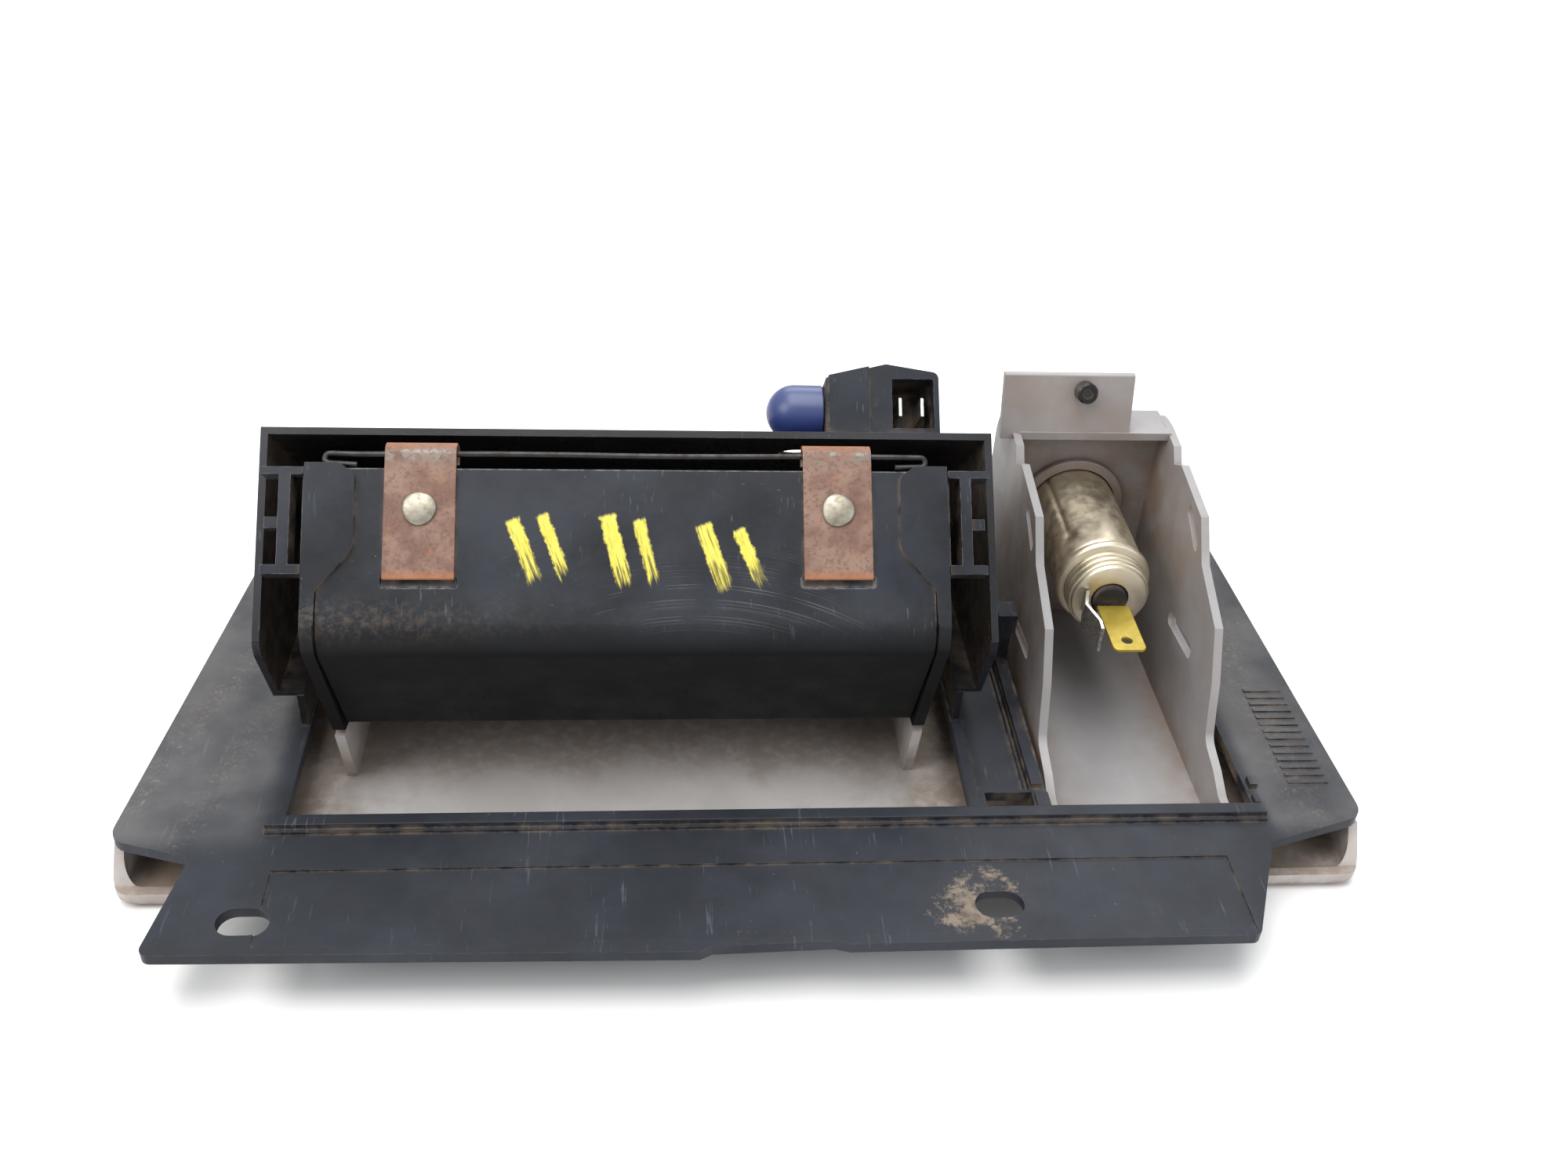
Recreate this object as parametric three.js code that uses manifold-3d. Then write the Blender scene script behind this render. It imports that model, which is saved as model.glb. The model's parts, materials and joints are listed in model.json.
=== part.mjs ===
// Dashboard ashtray and lighter unit: a frame plate with an ashtray housing, and a tilting front
// panel that carries the ash bucket and the lighter. It lies on the front panel's outer face.
// Millimetres. Working frame: X along the panel, Y towards the panel's free edge, Z away from the
// front face, with the origin on the tilt hinge's axis at the middle of the unit's width.
import * as THREE from "three";
import { mergeVertices } from "three/addons/utils/BufferGeometryUtils.js";
import Module from "manifold-3d";

const wasm = await Module();
wasm.setup();

// ---- driving dimensions ----
const GAP = 0.3; // clearance between pieces that touch
const FACE_Z = -9.3; // outer face of the front panel
const FLOOR_Z = -6.8; // inner face of the front panel
const PLATE_TOP = 7.2;
const PLATE_THICK = 2.6;
const PLATE_BOTTOM = PLATE_TOP - PLATE_THICK;
const PLATE_FAR_Y = 127;
const ROW_Y = -43.9; // hinge axis measured from the middle of the unit's depth

const PIN_R = 1.5;
const KNUCKLE_R = 4.0;

const BUCKET_X = [-94.5, 39.5]; // outer faces of the two end plates
const END_PLATE = 2.6;
const BUCKET_R = 80.5; // reach of the bucket's mouth from the hinge
const BACK_V = 28.8; // distance of the bucket's back plane from the hinge
const SHELL = 1.4;

const HOOD_X = [-108.5, 53.8];
const HOOD_WALL = 1.6;
const HOOD_TOP = 126.2; // y + z of the sloping top wall's outer face
const POST_X = [-103.2, 49.5]; // outer faces of the housing's narrow foot
const SHELF_Z = 15.7;

const BRACKET_X = [66.3, 108.3];
const BRACKET_WALL = 2.0;
const SOCKET = { x: 86.2, z: 30.5, bore: 10.5, outer: 11, thread: 9.9, rear: 46, bead: 53, front: 93.5 };
const END_WALL_Y = [89, 91.2];

// ---- materials ----
const look = (color, roughness, metalness = 0) =>
  new THREE.MeshStandardMaterial({ color, roughness, metalness });
const looks = {
  slate: look(0x343a44, 0.55),
  black: look(0x15161a, 0.4),
  bucket: look(0x2c2f36, 0.45),
  panel: look(0x9b948f, 0.6),
  rust: look(0x7a4a35, 0.75, 0.4),
  zinc: look(0xa79f84, 0.35, 1),
  wire: look(0x3b3a3a, 0.5, 0.9),
  lighter: look(0xb5a98b, 0.3, 1),
  brass: look(0xc9ad3a, 0.35, 0.8),
  silver: look(0xc4c3bf, 0.25, 1),
  insulator: look(0x1c1d20, 0.7),
  cap: look(0x1b2f86, 0.3),
  glass: look(0xd8dde2, 0.1),
  knob: look(0x17181b, 0.5),
  element: look(0x6a5a50, 0.6, 0.8),
};

// ---- solid helpers ----
function solid(geometry) {
  const bare = geometry.clone();
  bare.deleteAttribute("normal");
  bare.deleteAttribute("uv");
  const merged = mergeVertices(bare, 1e-4);
  const vertProperties = new Float32Array(merged.attributes.position.array);
  const triVerts = new Uint32Array(merged.index.array);
  return new wasm.Manifold(new wasm.Mesh({ numProp: 3, vertProperties, triVerts }));
}

const root = new THREE.Group();
root.name = "ashtray_and_lighter_unit";
root.position.set(0, ROW_Y, -FACE_Z);

function node(name, body, material) {
  const mesh = body.getMesh();
  const geometry = new THREE.BufferGeometry();
  geometry.setAttribute("position", new THREE.BufferAttribute(mesh.vertProperties, 3));
  geometry.setIndex(new THREE.BufferAttribute(mesh.triVerts, 1));
  geometry.computeVertexNormals();
  const made = new THREE.Mesh(geometry, material);
  made.name = name;
  root.add(made);
}

// Closed outline with corners [x, y, radius]; a corner with a radius becomes an arc.
function outline(corners) {
  const points = [];
  corners.forEach(([x, y, radius = 0], i) => {
    const here = new THREE.Vector2(x, y);
    if (!radius) {
      points.push(here);
      return;
    }
    const [bx, by] = corners[(i + corners.length - 1) % corners.length];
    const [nx, ny] = corners[(i + 1) % corners.length];
    const back = new THREE.Vector2(bx, by).sub(here).normalize();
    const next = new THREE.Vector2(nx, ny).sub(here).normalize();
    const half = Math.acos(THREE.MathUtils.clamp(back.dot(next), -1, 1)) / 2;
    const centre = back.clone().add(next).normalize().multiplyScalar(radius / Math.sin(half)).add(here);
    const reach = radius / Math.tan(half);
    const from = back.multiplyScalar(reach).add(here).sub(centre);
    const to = next.multiplyScalar(reach).add(here).sub(centre);
    const turn = Math.atan2(from.cross(to), from.dot(to));
    const steps = Math.max(2, Math.ceil(Math.abs(turn) / (Math.PI / 10)));
    for (let k = 0; k <= steps; k++) {
      points.push(from.clone().rotateAround(new THREE.Vector2(), (turn * k) / steps).add(centre));
    }
  });
  return new THREE.Shape(points);
}

const extrude = (shape, depth) => new THREE.ExtrudeGeometry(shape, { depth, bevelEnabled: false });

// Outline in X and Y, between two heights.
const slab = (corners, z0, z1) => solid(extrude(outline(corners), z1 - z0).translate(0, 0, z0));

// Outline in Y and Z, between two X positions.
const TO_YZ = new THREE.Matrix4().makeBasis(
  new THREE.Vector3(0, 1, 0),
  new THREE.Vector3(0, 0, 1),
  new THREE.Vector3(1, 0, 0),
);
const across = (corners, x0, x1) =>
  solid(extrude(outline(corners), x1 - x0).applyMatrix4(TO_YZ).translate(x0, 0, 0));

const block = (x0, x1, y0, y1, z0, z1) =>
  new THREE.BoxGeometry(x1 - x0, y1 - y0, z1 - z0).translate((x0 + x1) / 2, (y0 + y1) / 2, (z0 + z1) / 2);
const box = (...sides) => solid(block(...sides));

// Turned piece: profile of [radius, distance] about the local Y axis. A profile that doesn't
// come back to its start begins and ends on the axis.
const turned = (profile, segments = 24) =>
  new THREE.LatheGeometry(profile.map(([r, d]) => new THREE.Vector2(r, d)), segments);

const cylinder = (r, d0, d1) => [[0, d0], [r, d0], [r, d1], [0, d1]];

// Round bar on the hinge's axis.
const rod = (r, x0, x1) => solid(turned(cylinder(r, x0, x1), 16).rotateZ(-Math.PI / 2));

const union = (first, ...rest) => rest.reduce((sum, part) => sum.add(part), first);
const cut = (first, ...rest) => rest.reduce((left, part) => left.subtract(part), first);

// Back plane of the bucket: u runs up along it from the hinge, v stands out of it.
const S = Math.SQRT1_2;
const yz = (u, v) => [(u - v) * S, (u + v) * S];
const backRotation = new THREE.Matrix4().makeBasis(
  new THREE.Vector3(1, 0, 0),
  new THREE.Vector3(0, S, S),
  new THREE.Vector3(0, -S, S),
);
// Outline in X and u, between two v distances.
const onBack = (corners, v0, v1) =>
  solid(extrude(outline(corners), v1 - v0).translate(0, 0, v0).applyMatrix4(backRotation));
const backDisc = (profile, x, u, segments = 24) =>
  solid(turned(profile, segments).rotateX(Math.PI / 2).translate(x, u, 0).applyMatrix4(backRotation));
const rect = (x0, x1, y0, y1, r = 0) => [[x0, y0, r], [x1, y0, r], [x1, y1, r], [x0, y1, r]];

// ---- frame plate ----
const OPENING = { x: [-101.3, 47.25], y: [-1.5, 90.5] };
const BRACKET_OPENING = { x: [65.5, 111.8], y: [-1, 117.5] };
const TAB_NOTCH = { x: [62.4, 66], y: [92, 117.5] }; // lets the bracket's tab swing through the plate
const RAIL = { x: [-104.5, 113.5], y: [-5.7, -1.5] };
const SLOTS = [[-103.9, -29.3], [48.7, -28.0]];
const SLOT = { length: 10.4, width: 7 };
const THROUGH = [0, 12]; // heights of a cut that goes right through the plate

function framePlate() {
  const plate = slab(
    [
      [-136.3, -6.4, 4.5],
      [-119.4, -11.5],
      [-118.5, -13.5],
      [-122.3, -37.4, 2],
      [-13.7, -39.2, 0.8],
      [-11.3, -37.9, 0.8],
      [13.4, -37.2, 0.8],
      [16.6, -38.1, 0.8],
      [101.3, -37.9, 2],
      [111.6, -14.2],
      [112.3, -11.8],
      [136.4, -4.4, 5],
      [132.2, PLATE_FAR_Y, 5],
      [-122.3, PLATE_FAR_Y, 5],
    ],
    PLATE_BOTTOM,
    PLATE_TOP,
  );
  const holes = [
    slab(rect(...OPENING.x, ...OPENING.y, 1), ...THROUGH),
    slab(rect(...BRACKET_OPENING.x, ...BRACKET_OPENING.y, 1), ...THROUGH),
    box(...TAB_NOTCH.x, ...TAB_NOTCH.y, ...THROUGH),
    ...SLOTS.map(flangeSlot),
    box(51.2, 62, 0.2, 4.4, ...THROUGH), // small window at the near end of the bridge
    box(-101.2, 101, -36, -15.8, PLATE_TOP - 0.5, THROUGH[1]), // shallow step along the flange
    box(49.9, 60.6, 5.4, 58, PLATE_TOP - 1.3, THROUGH[1]), // sunk strip of the bridge
    box(60.9, 61.9, 5.4, 58, PLATE_TOP - 1.9, THROUGH[1]), // groove beside the strip
  ];
  const rail = across(
    [
      [RAIL.y[0], PLATE_TOP - 0.5],
      [RAIL.y[0], PLATE_TOP + 0.7],
      [RAIL.y[0] + 1, PLATE_TOP + 0.7],
      [RAIL.y[0] + 1, PLATE_TOP + 1.9, 0.3],
      [RAIL.y[1], PLATE_TOP + 1.9, 0.4],
      [RAIL.y[1], PLATE_TOP - 0.5],
    ],
    ...RAIL.x,
  );
  const raised = [
    box(47.3, 49.4, -1.6, 28, PLATE_TOP - 0.5, PLATE_TOP + 0.8), // rim of the main opening
    box(62, 64.4, 5.6, 51, PLATE_TOP - 0.5, PLATE_TOP + 1.5), // rib beside the lighter opening
    box(62.3, 65.3, -1.6, 3.2, PLATE_TOP - 0.5, PLATE_TOP + 1.2),
    box(61.2, 65.2, 51.2, 53.6, PLATE_TOP - 0.5, 19), // stop finger
    box(60.8, 65.4, 48.6, 54.6, 18, 23.4),
    box(112.6, 114.4, 4.5, 7.3, PLATE_TOP - 0.5, PLATE_TOP + 1.6), // two teeth beside the opening
    box(112, 113.4, -1, 1.6, PLATE_TOP - 0.5, PLATE_TOP + 1.6),
  ];
  const ridges = Array.from({ length: 14 }, (_, i) => {
    const y = 6 + i * 2.5;
    return box(122.5, 132, y, y + 1, PLATE_TOP - 0.5, PLATE_TOP + 0.45);
  });
  return cut(union(cut(plate, ...holes), rail, ...raised, ...ridges, ...hingeLugs()), ...pinBores());
}

// Slot with round ends, for a fixing screw.
function flangeSlot([x, y]) {
  const halfLength = SLOT.length / 2;
  const halfWidth = SLOT.width / 2;
  const corners = rect(x - halfLength, x + halfLength, y - halfWidth, y + halfWidth, halfWidth - 0.01);
  return slab(corners, ...THROUGH);
}

// Lugs hang under the plate and hold the three hinge pins.
const LUGS = [[-107.6, -104.8], [62.2, 65.0], [112.2, 115.0]];
const PIN_SPANS = [[-107.9, -99.6], [62.0, 69.0], [106.0, 115.3]];

function hingeLugs() {
  const top = PLATE_BOTTOM + 0.4;
  const side = [
    [-KNUCKLE_R, top],
    [-KNUCKLE_R, -KNUCKLE_R, 3.5],
    [KNUCKLE_R, -KNUCKLE_R, 3.5],
    [KNUCKLE_R, top],
  ];
  return LUGS.map((span) => across(side, ...span));
}
const pinBores = () => LUGS.map(([x0, x1]) => rod(PIN_R + 0.05, x0 - 1, x1 + 1));

// ---- ashtray housing ----
function hood() {
  const outer = [
    [29.5, SHELF_Z],
    [22, 33.2, 1],
    [22, 36.7, 1],
    [56, 70.2],
    [HOOD_TOP - 41.2, 41.2, 3],
    [90.8, SHELF_Z],
  ];
  const inner = [
    [20, SHELF_Z + HOOD_WALL],
    [10, 32],
    [10, 40],
    [HOOD_TOP - 2.3 - 73, 73],
    [HOOD_TOP - 2.3 - 40.8, 40.8, 2],
    [88.9, SHELF_Z + HOOD_WALL],
  ];
  const upper = cut(
    across(outer, ...HOOD_X),
    across(inner, HOOD_X[0] + HOOD_WALL, HOOD_X[1] - HOOD_WALL),
    box(POST_X[0] + HOOD_WALL, POST_X[1] - HOOD_WALL, 0, 88.9, 10, SHELF_Z + HOOD_WALL + 0.1),
  );
  const footOutline = [
    [29, PLATE_TOP + GAP],
    [29, SHELF_Z + 0.4],
    [90.7, SHELF_Z + 0.4],
    [92.6, PLATE_TOP + GAP],
  ];
  const foot = cut(
    across(footOutline, ...POST_X),
    box(POST_X[0] + HOOD_WALL, POST_X[1] - HOOD_WALL, 0, 88.9, 0, 30),
  );
  const lampWindow = lampSolid(turned(cylinder(4.5, -6, 6), 20).translate(LAMP.x[0] + 7, 0, 0));
  return cut(union(upper, foot), lampWindow);
}

// ---- lamp on the housing's top wall ----
// Local frame: a along X, b out of the wall, c down along the wall.
const LAMP = { x: [3.5, 16.5, 29.5, 43.5], y: 66.5, axis: 8.4, r: 6.6 };
const lampFrame = new THREE.Matrix4().makeBasis(
  new THREE.Vector3(1, 0, 0),
  new THREE.Vector3(0, S, S),
  new THREE.Vector3(0, -S, S),
);
lampFrame.setPosition(0, LAMP.y, HOOD_TOP - LAMP.y);
const lampSolid = (geometry) => solid(geometry.applyMatrix4(lampFrame));
const lampBox = (...sides) => lampSolid(block(...sides));
const lampOutline = (corners, c0, c1) => lampSolid(extrude(outline(corners), c1 - c0).translate(0, 0, c0));
const lampTurned = (profile, segments = 24) =>
  lampSolid(turned(profile, segments).rotateZ(-Math.PI / 2).translate(0, LAMP.axis, 0));

function lampCap() {
  const [x0, x1] = LAMP.x;
  const dome = (r, start) => {
    const arc = [];
    for (let k = 0; k <= 6; k++) {
      const angle = (k * Math.PI) / 12;
      arc.push([r * Math.sin(angle), start + r * (1 - Math.cos(angle))]);
    }
    return arc;
  };
  const wall = 1;
  const inside = dome(LAMP.r - wall, x0 + wall).reverse();
  return lampTurned([...dome(LAMP.r, x0), [LAMP.r, x1], [LAMP.r - wall, x1], ...inside]);
}

function lampBulb() {
  const [, x1] = LAMP.x;
  const profile = [
    [0, x1 - 9],
    [2.2, x1 - 8],
    [2.6, x1 - 6],
    [2.4, x1 - 2],
    [2.4, x1 - GAP],
    [0, x1 - GAP],
  ];
  return lampTurned(profile, 16);
}

function lampHolder() {
  const [, x1, x2, x3] = LAMP.x;
  const top = LAMP.axis + LAMP.r;
  const body = lampOutline(
    [
      [x1 + GAP, GAP],
      [x1 + GAP, top, 0.8],
      [x2 + 1.6, top + 3.4],
      [x3, top + 1.4, 1.6],
      [x3, GAP],
    ],
    -7.4,
    7.4,
  );
  const bandSide = [
    [x1 + 1, GAP],
    [x1 + 1, top + 0.4],
    [x1 + 10.5, top + 2.6],
    [x1 + 10.5, GAP],
  ];
  const band = lampOutline(bandSide, -8.3, 8.3);
  const connector = lampBox(x2 + 2.9, x3 - 1.3, 3, top - 0.2, -5.6, 12);
  return cut(union(body, band), connector);
}
const lampContact = (side) => {
  const x = (LAMP.x[2] + 2.9 + LAMP.x[3] - 1.3) / 2 + side * 2.6;
  return lampBox(x - 0.4, x + 0.4, 6.5, 11, -5.6 + GAP, 5);
};

// ---- front panel ----
const PANEL_X = [-137.4, 137];
const PANEL_NEAR_Y = -10.8;
const PANEL_FAR_Y = 125;
const RIM = 2.2;

function frontPanel() {
  const [x0, x1] = PANEL_X;
  const farX = [x0 + 12.5, x1 - 4];
  const plan = (inset) => [
    [x0 + inset, PANEL_NEAR_Y + inset, 4],
    [x1 - inset, PANEL_NEAR_Y + inset, 4],
    [farX[1] - inset, PANEL_FAR_Y - inset, 5],
    [farX[0] + inset, PANEL_FAR_Y - inset, 5],
  ];
  const rimTop = PLATE_BOTTOM - 1.4;
  // Three stacked slabs round the outer edge off towards the front face.
  const tray = union(
    slab(plan(2.6), FACE_Z, FACE_Z + 1.1),
    slab(plan(1.0), FACE_Z + 0.8, FACE_Z + 2.4),
    slab(plan(0), FACE_Z + 2.1, rimTop),
  );
  const hollow = slab(plan(RIM), FLOOR_Z, 10);
  // Above this line the near end of the rim would strike the frame plate as the panel tilts.
  const sweepSide = [
    [-20, -4.9],
    [PANEL_NEAR_Y + RIM + 0.5, -4.9],
    [-2.6, rimTop + 0.2],
    [-2.6, 10],
    [-20, 10],
  ];
  const body = cut(tray, hollow, across(sweepSide, x0 - 5, x1 + 5));
  return cut(union(body, ...BUCKET_X.map(gusset), ear()), rod(PIN_R + 0.2, EAR_X[0] - 1, EAR_X[1] + 1));
}

// Knuckle around the hinge pin, standing on the panel's floor.
const EAR_X = [-104.3, -101.6];
const ear = () =>
  across(
    [
      [-3.4, FLOOR_Z - 0.5],
      [-KNUCKLE_R, 0],
      [-KNUCKLE_R, 3.9, 3.6],
      [KNUCKLE_R, 3.9, 3.6],
      [6, FLOOR_Z - 0.5],
    ],
    ...EAR_X,
  );

// Upright web under each end plate.
function gusset(x, side) {
  const x0 = side === 0 ? x + 0.2 : x - 2.4;
  const web = [
    [27, FLOOR_Z - 0.4],
    [21.8, 10.2],
    [25, 10.2],
    [76, 0],
    [76, FLOOR_Z - 0.4],
  ];
  return across(web, x0, x0 + 2.2);
}

// ---- ash bucket ----
function mouthArc(reach, from, to, steps = 10) {
  return Array.from({ length: steps + 1 }, (_, k) => {
    const angle = from + ((to - from) * k) / steps;
    return [reach * Math.cos(angle), reach * Math.sin(angle)];
  });
}

function endPlate(side) {
  const x = BUCKET_X[side];
  const [x0, x1] = side === 0 ? [x, x + END_PLATE] : [x - END_PLATE, x];
  const profile = [
    [...yz(42, BACK_V), 2.5],
    [...yz(37.6, 26.3), 3],
    [22.2, 11.4, 2],
    [78, 1.2],
    ...mouthArc(BUCKET_R, 0.03, 1.14),
    [...yz(76.4, BACK_V), 1],
  ];
  const wall = across(profile, x0, x1);
  // The ear laps over the back of the shell; its inner edge follows an S.
  const lap = side === 0 ? 1 : -1;
  const edge = x0 + (side === 0 ? 0 : END_PLATE);
  const earOutline = [
    [edge, 76.9],
    [edge + lap * 7, 76.9, 2],
    [edge + lap * 10.2, 74.5, 2],
    [edge + lap * 10.3, 58.6, 4],
    [edge + lap * 2.9, 50.2, 3],
    [edge + lap * 2.8, 43],
    [edge, 43],
  ];
  const lapped = onBack(side === 0 ? earOutline : [...earOutline].reverse(), BACK_V - 0.55, BACK_V);
  return union(wall, lapped);
}

const SHELL_X = [BUCKET_X[0] + END_PLATE + GAP, BUCKET_X[1] - END_PLATE - GAP];
const SHELL_V = BACK_V - 0.9;
const CLIPS = [-71, 15.9]; // middle of each spring clip
const CLIP = { width: 14.6, thick: 0.6, low: 52.4, roll: 3 };

function bucketShell() {
  const sheet = [
    [...yz(76, SHELL_V)],
    [...yz(41.5, SHELL_V), 7],
    [...yz(37.3, 25.2), 5],
    [23.4, 12.4, 4],
    [78, 2.4],
    [78, 2.4 + SHELL],
    [24.8, 13.6, 3],
    [...yz(38.7, 24.4), 4],
    [...yz(42.4, SHELL_V - SHELL), 5.5],
    [...yz(76, SHELL_V - SHELL)],
  ];
  const recess = CLIPS.map((x) => onBack(rect(x - 7.7, x + 7.7, 50.9, 53.2), SHELL_V - 0.8, SHELL_V + 1));
  return cut(across(sheet, ...SHELL_X), ...recess, ...CLIPS.map(rivetHole));
}

// Guide block on the outside of an end plate: a bar held off the plate by two arms, with teeth.
function guideBlock(side) {
  const out = side === 0 ? -1 : 1;
  const x = BUCKET_X[side] + out * GAP;
  const span = (d0, d1, u0, u1, v0, v1) => {
    const xs = [x + out * d0, x + out * d1].sort((a, b) => a - b);
    return onBack(rect(xs[0], xs[1], u0, u1), v0, v1);
  };
  return union(
    span(0, 1, 54, 76.4, 20.4, 24),
    span(3, 5.4, 55.6, 75.4, 20.4, 26),
    span(0.5, 9.4, 75, 76.6, 20.4, 26),
    span(0.5, 8.6, 54, 56, 20.4, 26),
    span(5, 8.6, 64, 66.4, 20.4, 24),
  );
}

// Strip spring with its top rolled back over the wire.
const RIVET_U = 67.2;
const WIRE = { u: 79, r: 0.6, x: [-89.6, 34] };
const ROLL_V = SHELL_V + GAP + CLIP.thick - CLIP.roll;

function springClip(x) {
  const v0 = SHELL_V + GAP;
  const v1 = v0 + CLIP.thick;
  const arc = (r, from, to, steps) =>
    Array.from({ length: steps + 1 }, (_, k) => {
      const angle = from + ((to - from) * k) / steps;
      return [WIRE.u - 0.2 + r * Math.sin(angle), ROLL_V + r * Math.cos(angle)];
    });
  const turn = Math.PI * 1.15;
  const profile = [
    [CLIP.low, v0],
    [CLIP.low, v1],
    ...arc(CLIP.roll, 0, turn, 9),
    ...arc(CLIP.roll - CLIP.thick, turn, 0, 9),
  ].map(([u, v]) => yz(u, v));
  return cut(across(profile, x - CLIP.width / 2, x + CLIP.width / 2), rivetHole(x));
}

function rivet(x) {
  const face = SHELL_V + GAP + CLIP.thick + 0.1;
  const back = SHELL_V - SHELL - SNUFFER_T - 0.5;
  const profile = [
    [0, back - 0.7],
    [2.6, back - 0.7],
    [2.6, back],
    [1.6, back],
    [1.6, face],
    [3.5, face],
    [3.3, face + 0.6],
    [2.2, face + 1.05],
    [0, face + 1.2],
  ];
  return backDisc(profile, x, RIVET_U);
}
const rivetHole = (x) => backDisc(cylinder(1.9, SHELL_V - 4, SHELL_V + 3), x, RIVET_U);

// Perforated stubbing plate on the inside of the back wall, held by the two rivets.
const SNUFFER_T = 0.7;
function snufferPlate() {
  const v1 = SHELL_V - SHELL - GAP;
  const strip = onBack(rect(CLIPS[0] - 9, CLIPS[1] + 9, 61, 74, 1.5), v1 - SNUFFER_T, v1);
  const shelf = onBack(rect(-52, -3, 61, 61 + SNUFFER_T), v1 - 15, v1);
  const notches = [-42, -27.5, -13].map((x) => onBack(rect(x - 4, x + 4, 60, 63), v1 - 16, v1 - 7));
  return cut(union(strip, shelf), ...CLIPS.map(rivetHole), ...notches);
}

// Wire through both rolls, hooked back at each end.
function retainingWire() {
  const v = ROLL_V + CLIP.roll - CLIP.thick - WIRE.r - 0.15;
  const [x0, x1] = WIRE.x;
  const hook = 1.0;
  const place = (x, u) => new THREE.Vector3(x, (u - v) * S, (u + v) * S);
  const half = (x, out) => {
    const centre = WIRE.u - hook;
    return Array.from({ length: 7 }, (_, k) => {
      const angle = (k * Math.PI) / 6;
      return place(x + out * hook * Math.sin(angle), centre + hook * Math.cos(angle));
    });
  };
  const left = [place(x0 + 5.5, WIRE.u - 2 * hook - 0.2), ...half(x0, -1).reverse()];
  const right = [...half(x1, 1), place(x1 - 5.5, WIRE.u - 2 * hook - 0.2)];
  return wireAlong([...left, ...right], WIRE.r);
}

// Round wire swept through points, one octagonal ring at each.
function wireAlong(points, r) {
  const sides = 8;
  const normal = new THREE.Vector3(0, -S, S);
  const positions = [];
  const index = [];
  points.forEach((p, i) => {
    const ahead = points[Math.min(i + 1, points.length - 1)];
    const behind = points[Math.max(i - 1, 0)];
    const tangent = ahead.clone().sub(behind).normalize();
    const side = tangent.clone().cross(normal).normalize();
    for (let k = 0; k < sides; k++) {
      const angle = (k * 2 * Math.PI) / sides;
      const at = p.clone();
      at.addScaledVector(side, r * Math.cos(angle));
      at.addScaledVector(normal, r * Math.sin(angle));
      positions.push(at.x, at.y, at.z);
    }
  });
  const ring = (i, k) => i * sides + (k % sides);
  for (let i = 0; i + 1 < points.length; i++) {
    for (let k = 0; k < sides; k++) {
      index.push(ring(i, k), ring(i + 1, k), ring(i, k + 1));
      index.push(ring(i, k + 1), ring(i + 1, k), ring(i + 1, k + 1));
    }
  }
  const last = points.length - 1;
  for (let k = 1; k + 1 < sides; k++) {
    index.push(ring(0, 0), ring(0, k), ring(0, k + 1));
    index.push(ring(last, 0), ring(last, k + 1), ring(last, k));
  }
  const geometry = new THREE.BufferGeometry();
  geometry.setAttribute("position", new THREE.Float32BufferAttribute(positions, 3));
  geometry.setIndex(index);
  return solid(geometry);
}

// ---- lighter bracket ----
const TAB = { x: [63.2, 96], y: 82.4, z: [53.4, 69.2], thick: 2, lean: 0.26 };

function lighterBracket() {
  const side = [
    [-KNUCKLE_R, -KNUCKLE_R, 3.6],
    [-KNUCKLE_R, KNUCKLE_R, 3.6],
    [5, KNUCKLE_R + 0.2, 2],
    [11, 7, 4],
    [19, 9.2, 4],
    [21.5, 16.2, 3],
    [23.5, 22.7],
    [29.5, 34.2],
    [45, 41.2],
    [52, 50.2],
    [70.5, 53.2],
    [75, 50.7],
    [78, 54.2],
    [86, 55.2],
    [99, 54.5, 9],
    [99, FLOOR_Z + GAP],
    [6, FLOOR_Z + GAP],
    [3, -KNUCKLE_R],
  ];
  const walls = [
    [BRACKET_X[0], BRACKET_X[0] + BRACKET_WALL],
    [BRACKET_X[1] - BRACKET_WALL, BRACKET_X[1]],
  ].map(([x0, x1]) => across(side, x0, x1));
  const [inL, inR] = [BRACKET_X[0] + BRACKET_WALL, BRACKET_X[1] - BRACKET_WALL];
  const endWall = box(inL - 0.5, inR + 0.5, ...END_WALL_Y, FLOOR_Z + GAP, 54.5);
  const floor = box(inL - 0.5, inR + 0.5, 6.5, END_WALL_Y[1], FLOOR_Z + GAP, FLOOR_Z + GAP + 1.6);
  const roof = across([[TAB.y, 53.2], [TAB.y, 55.2], [95, 54.8], [95, 53.2]], inL - 0.5, inR + 0.5);
  const lean = (z) => TAB.y + (z - TAB.z[0]) * Math.tan(TAB.lean);
  const tab = across(
    [
      [lean(TAB.z[0]), TAB.z[0]],
      [lean(TAB.z[0]) + TAB.thick, TAB.z[0]],
      [lean(TAB.z[1]) + TAB.thick, TAB.z[1], 0.5],
      [lean(TAB.z[1]), TAB.z[1], 0.5],
    ],
    ...TAB.x,
  );
  const body = union(...walls, endWall, floor, roof, tab);
  const windows = [
    across([[38.5, 17.5, 1.5], [38.5, 21.5, 1.5], [56, 20, 1.5], [56, 16, 1.5]], 60, 120),
    across([[50, 40.6, 1], [50, 43.8, 1], [60, 49.6, 1], [60, 46.2, 1]], 60, 120),
  ];
  const socketHole = atSocket(turned(cylinder(SOCKET.outer + GAP, 80, 96)));
  const pegHole = tabDisc(cylinder(1.8, -3, 4));
  return cut(body, ...windows, socketHole, pegHole, rod(PIN_R + 0.2, 60, 120));
}

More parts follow.
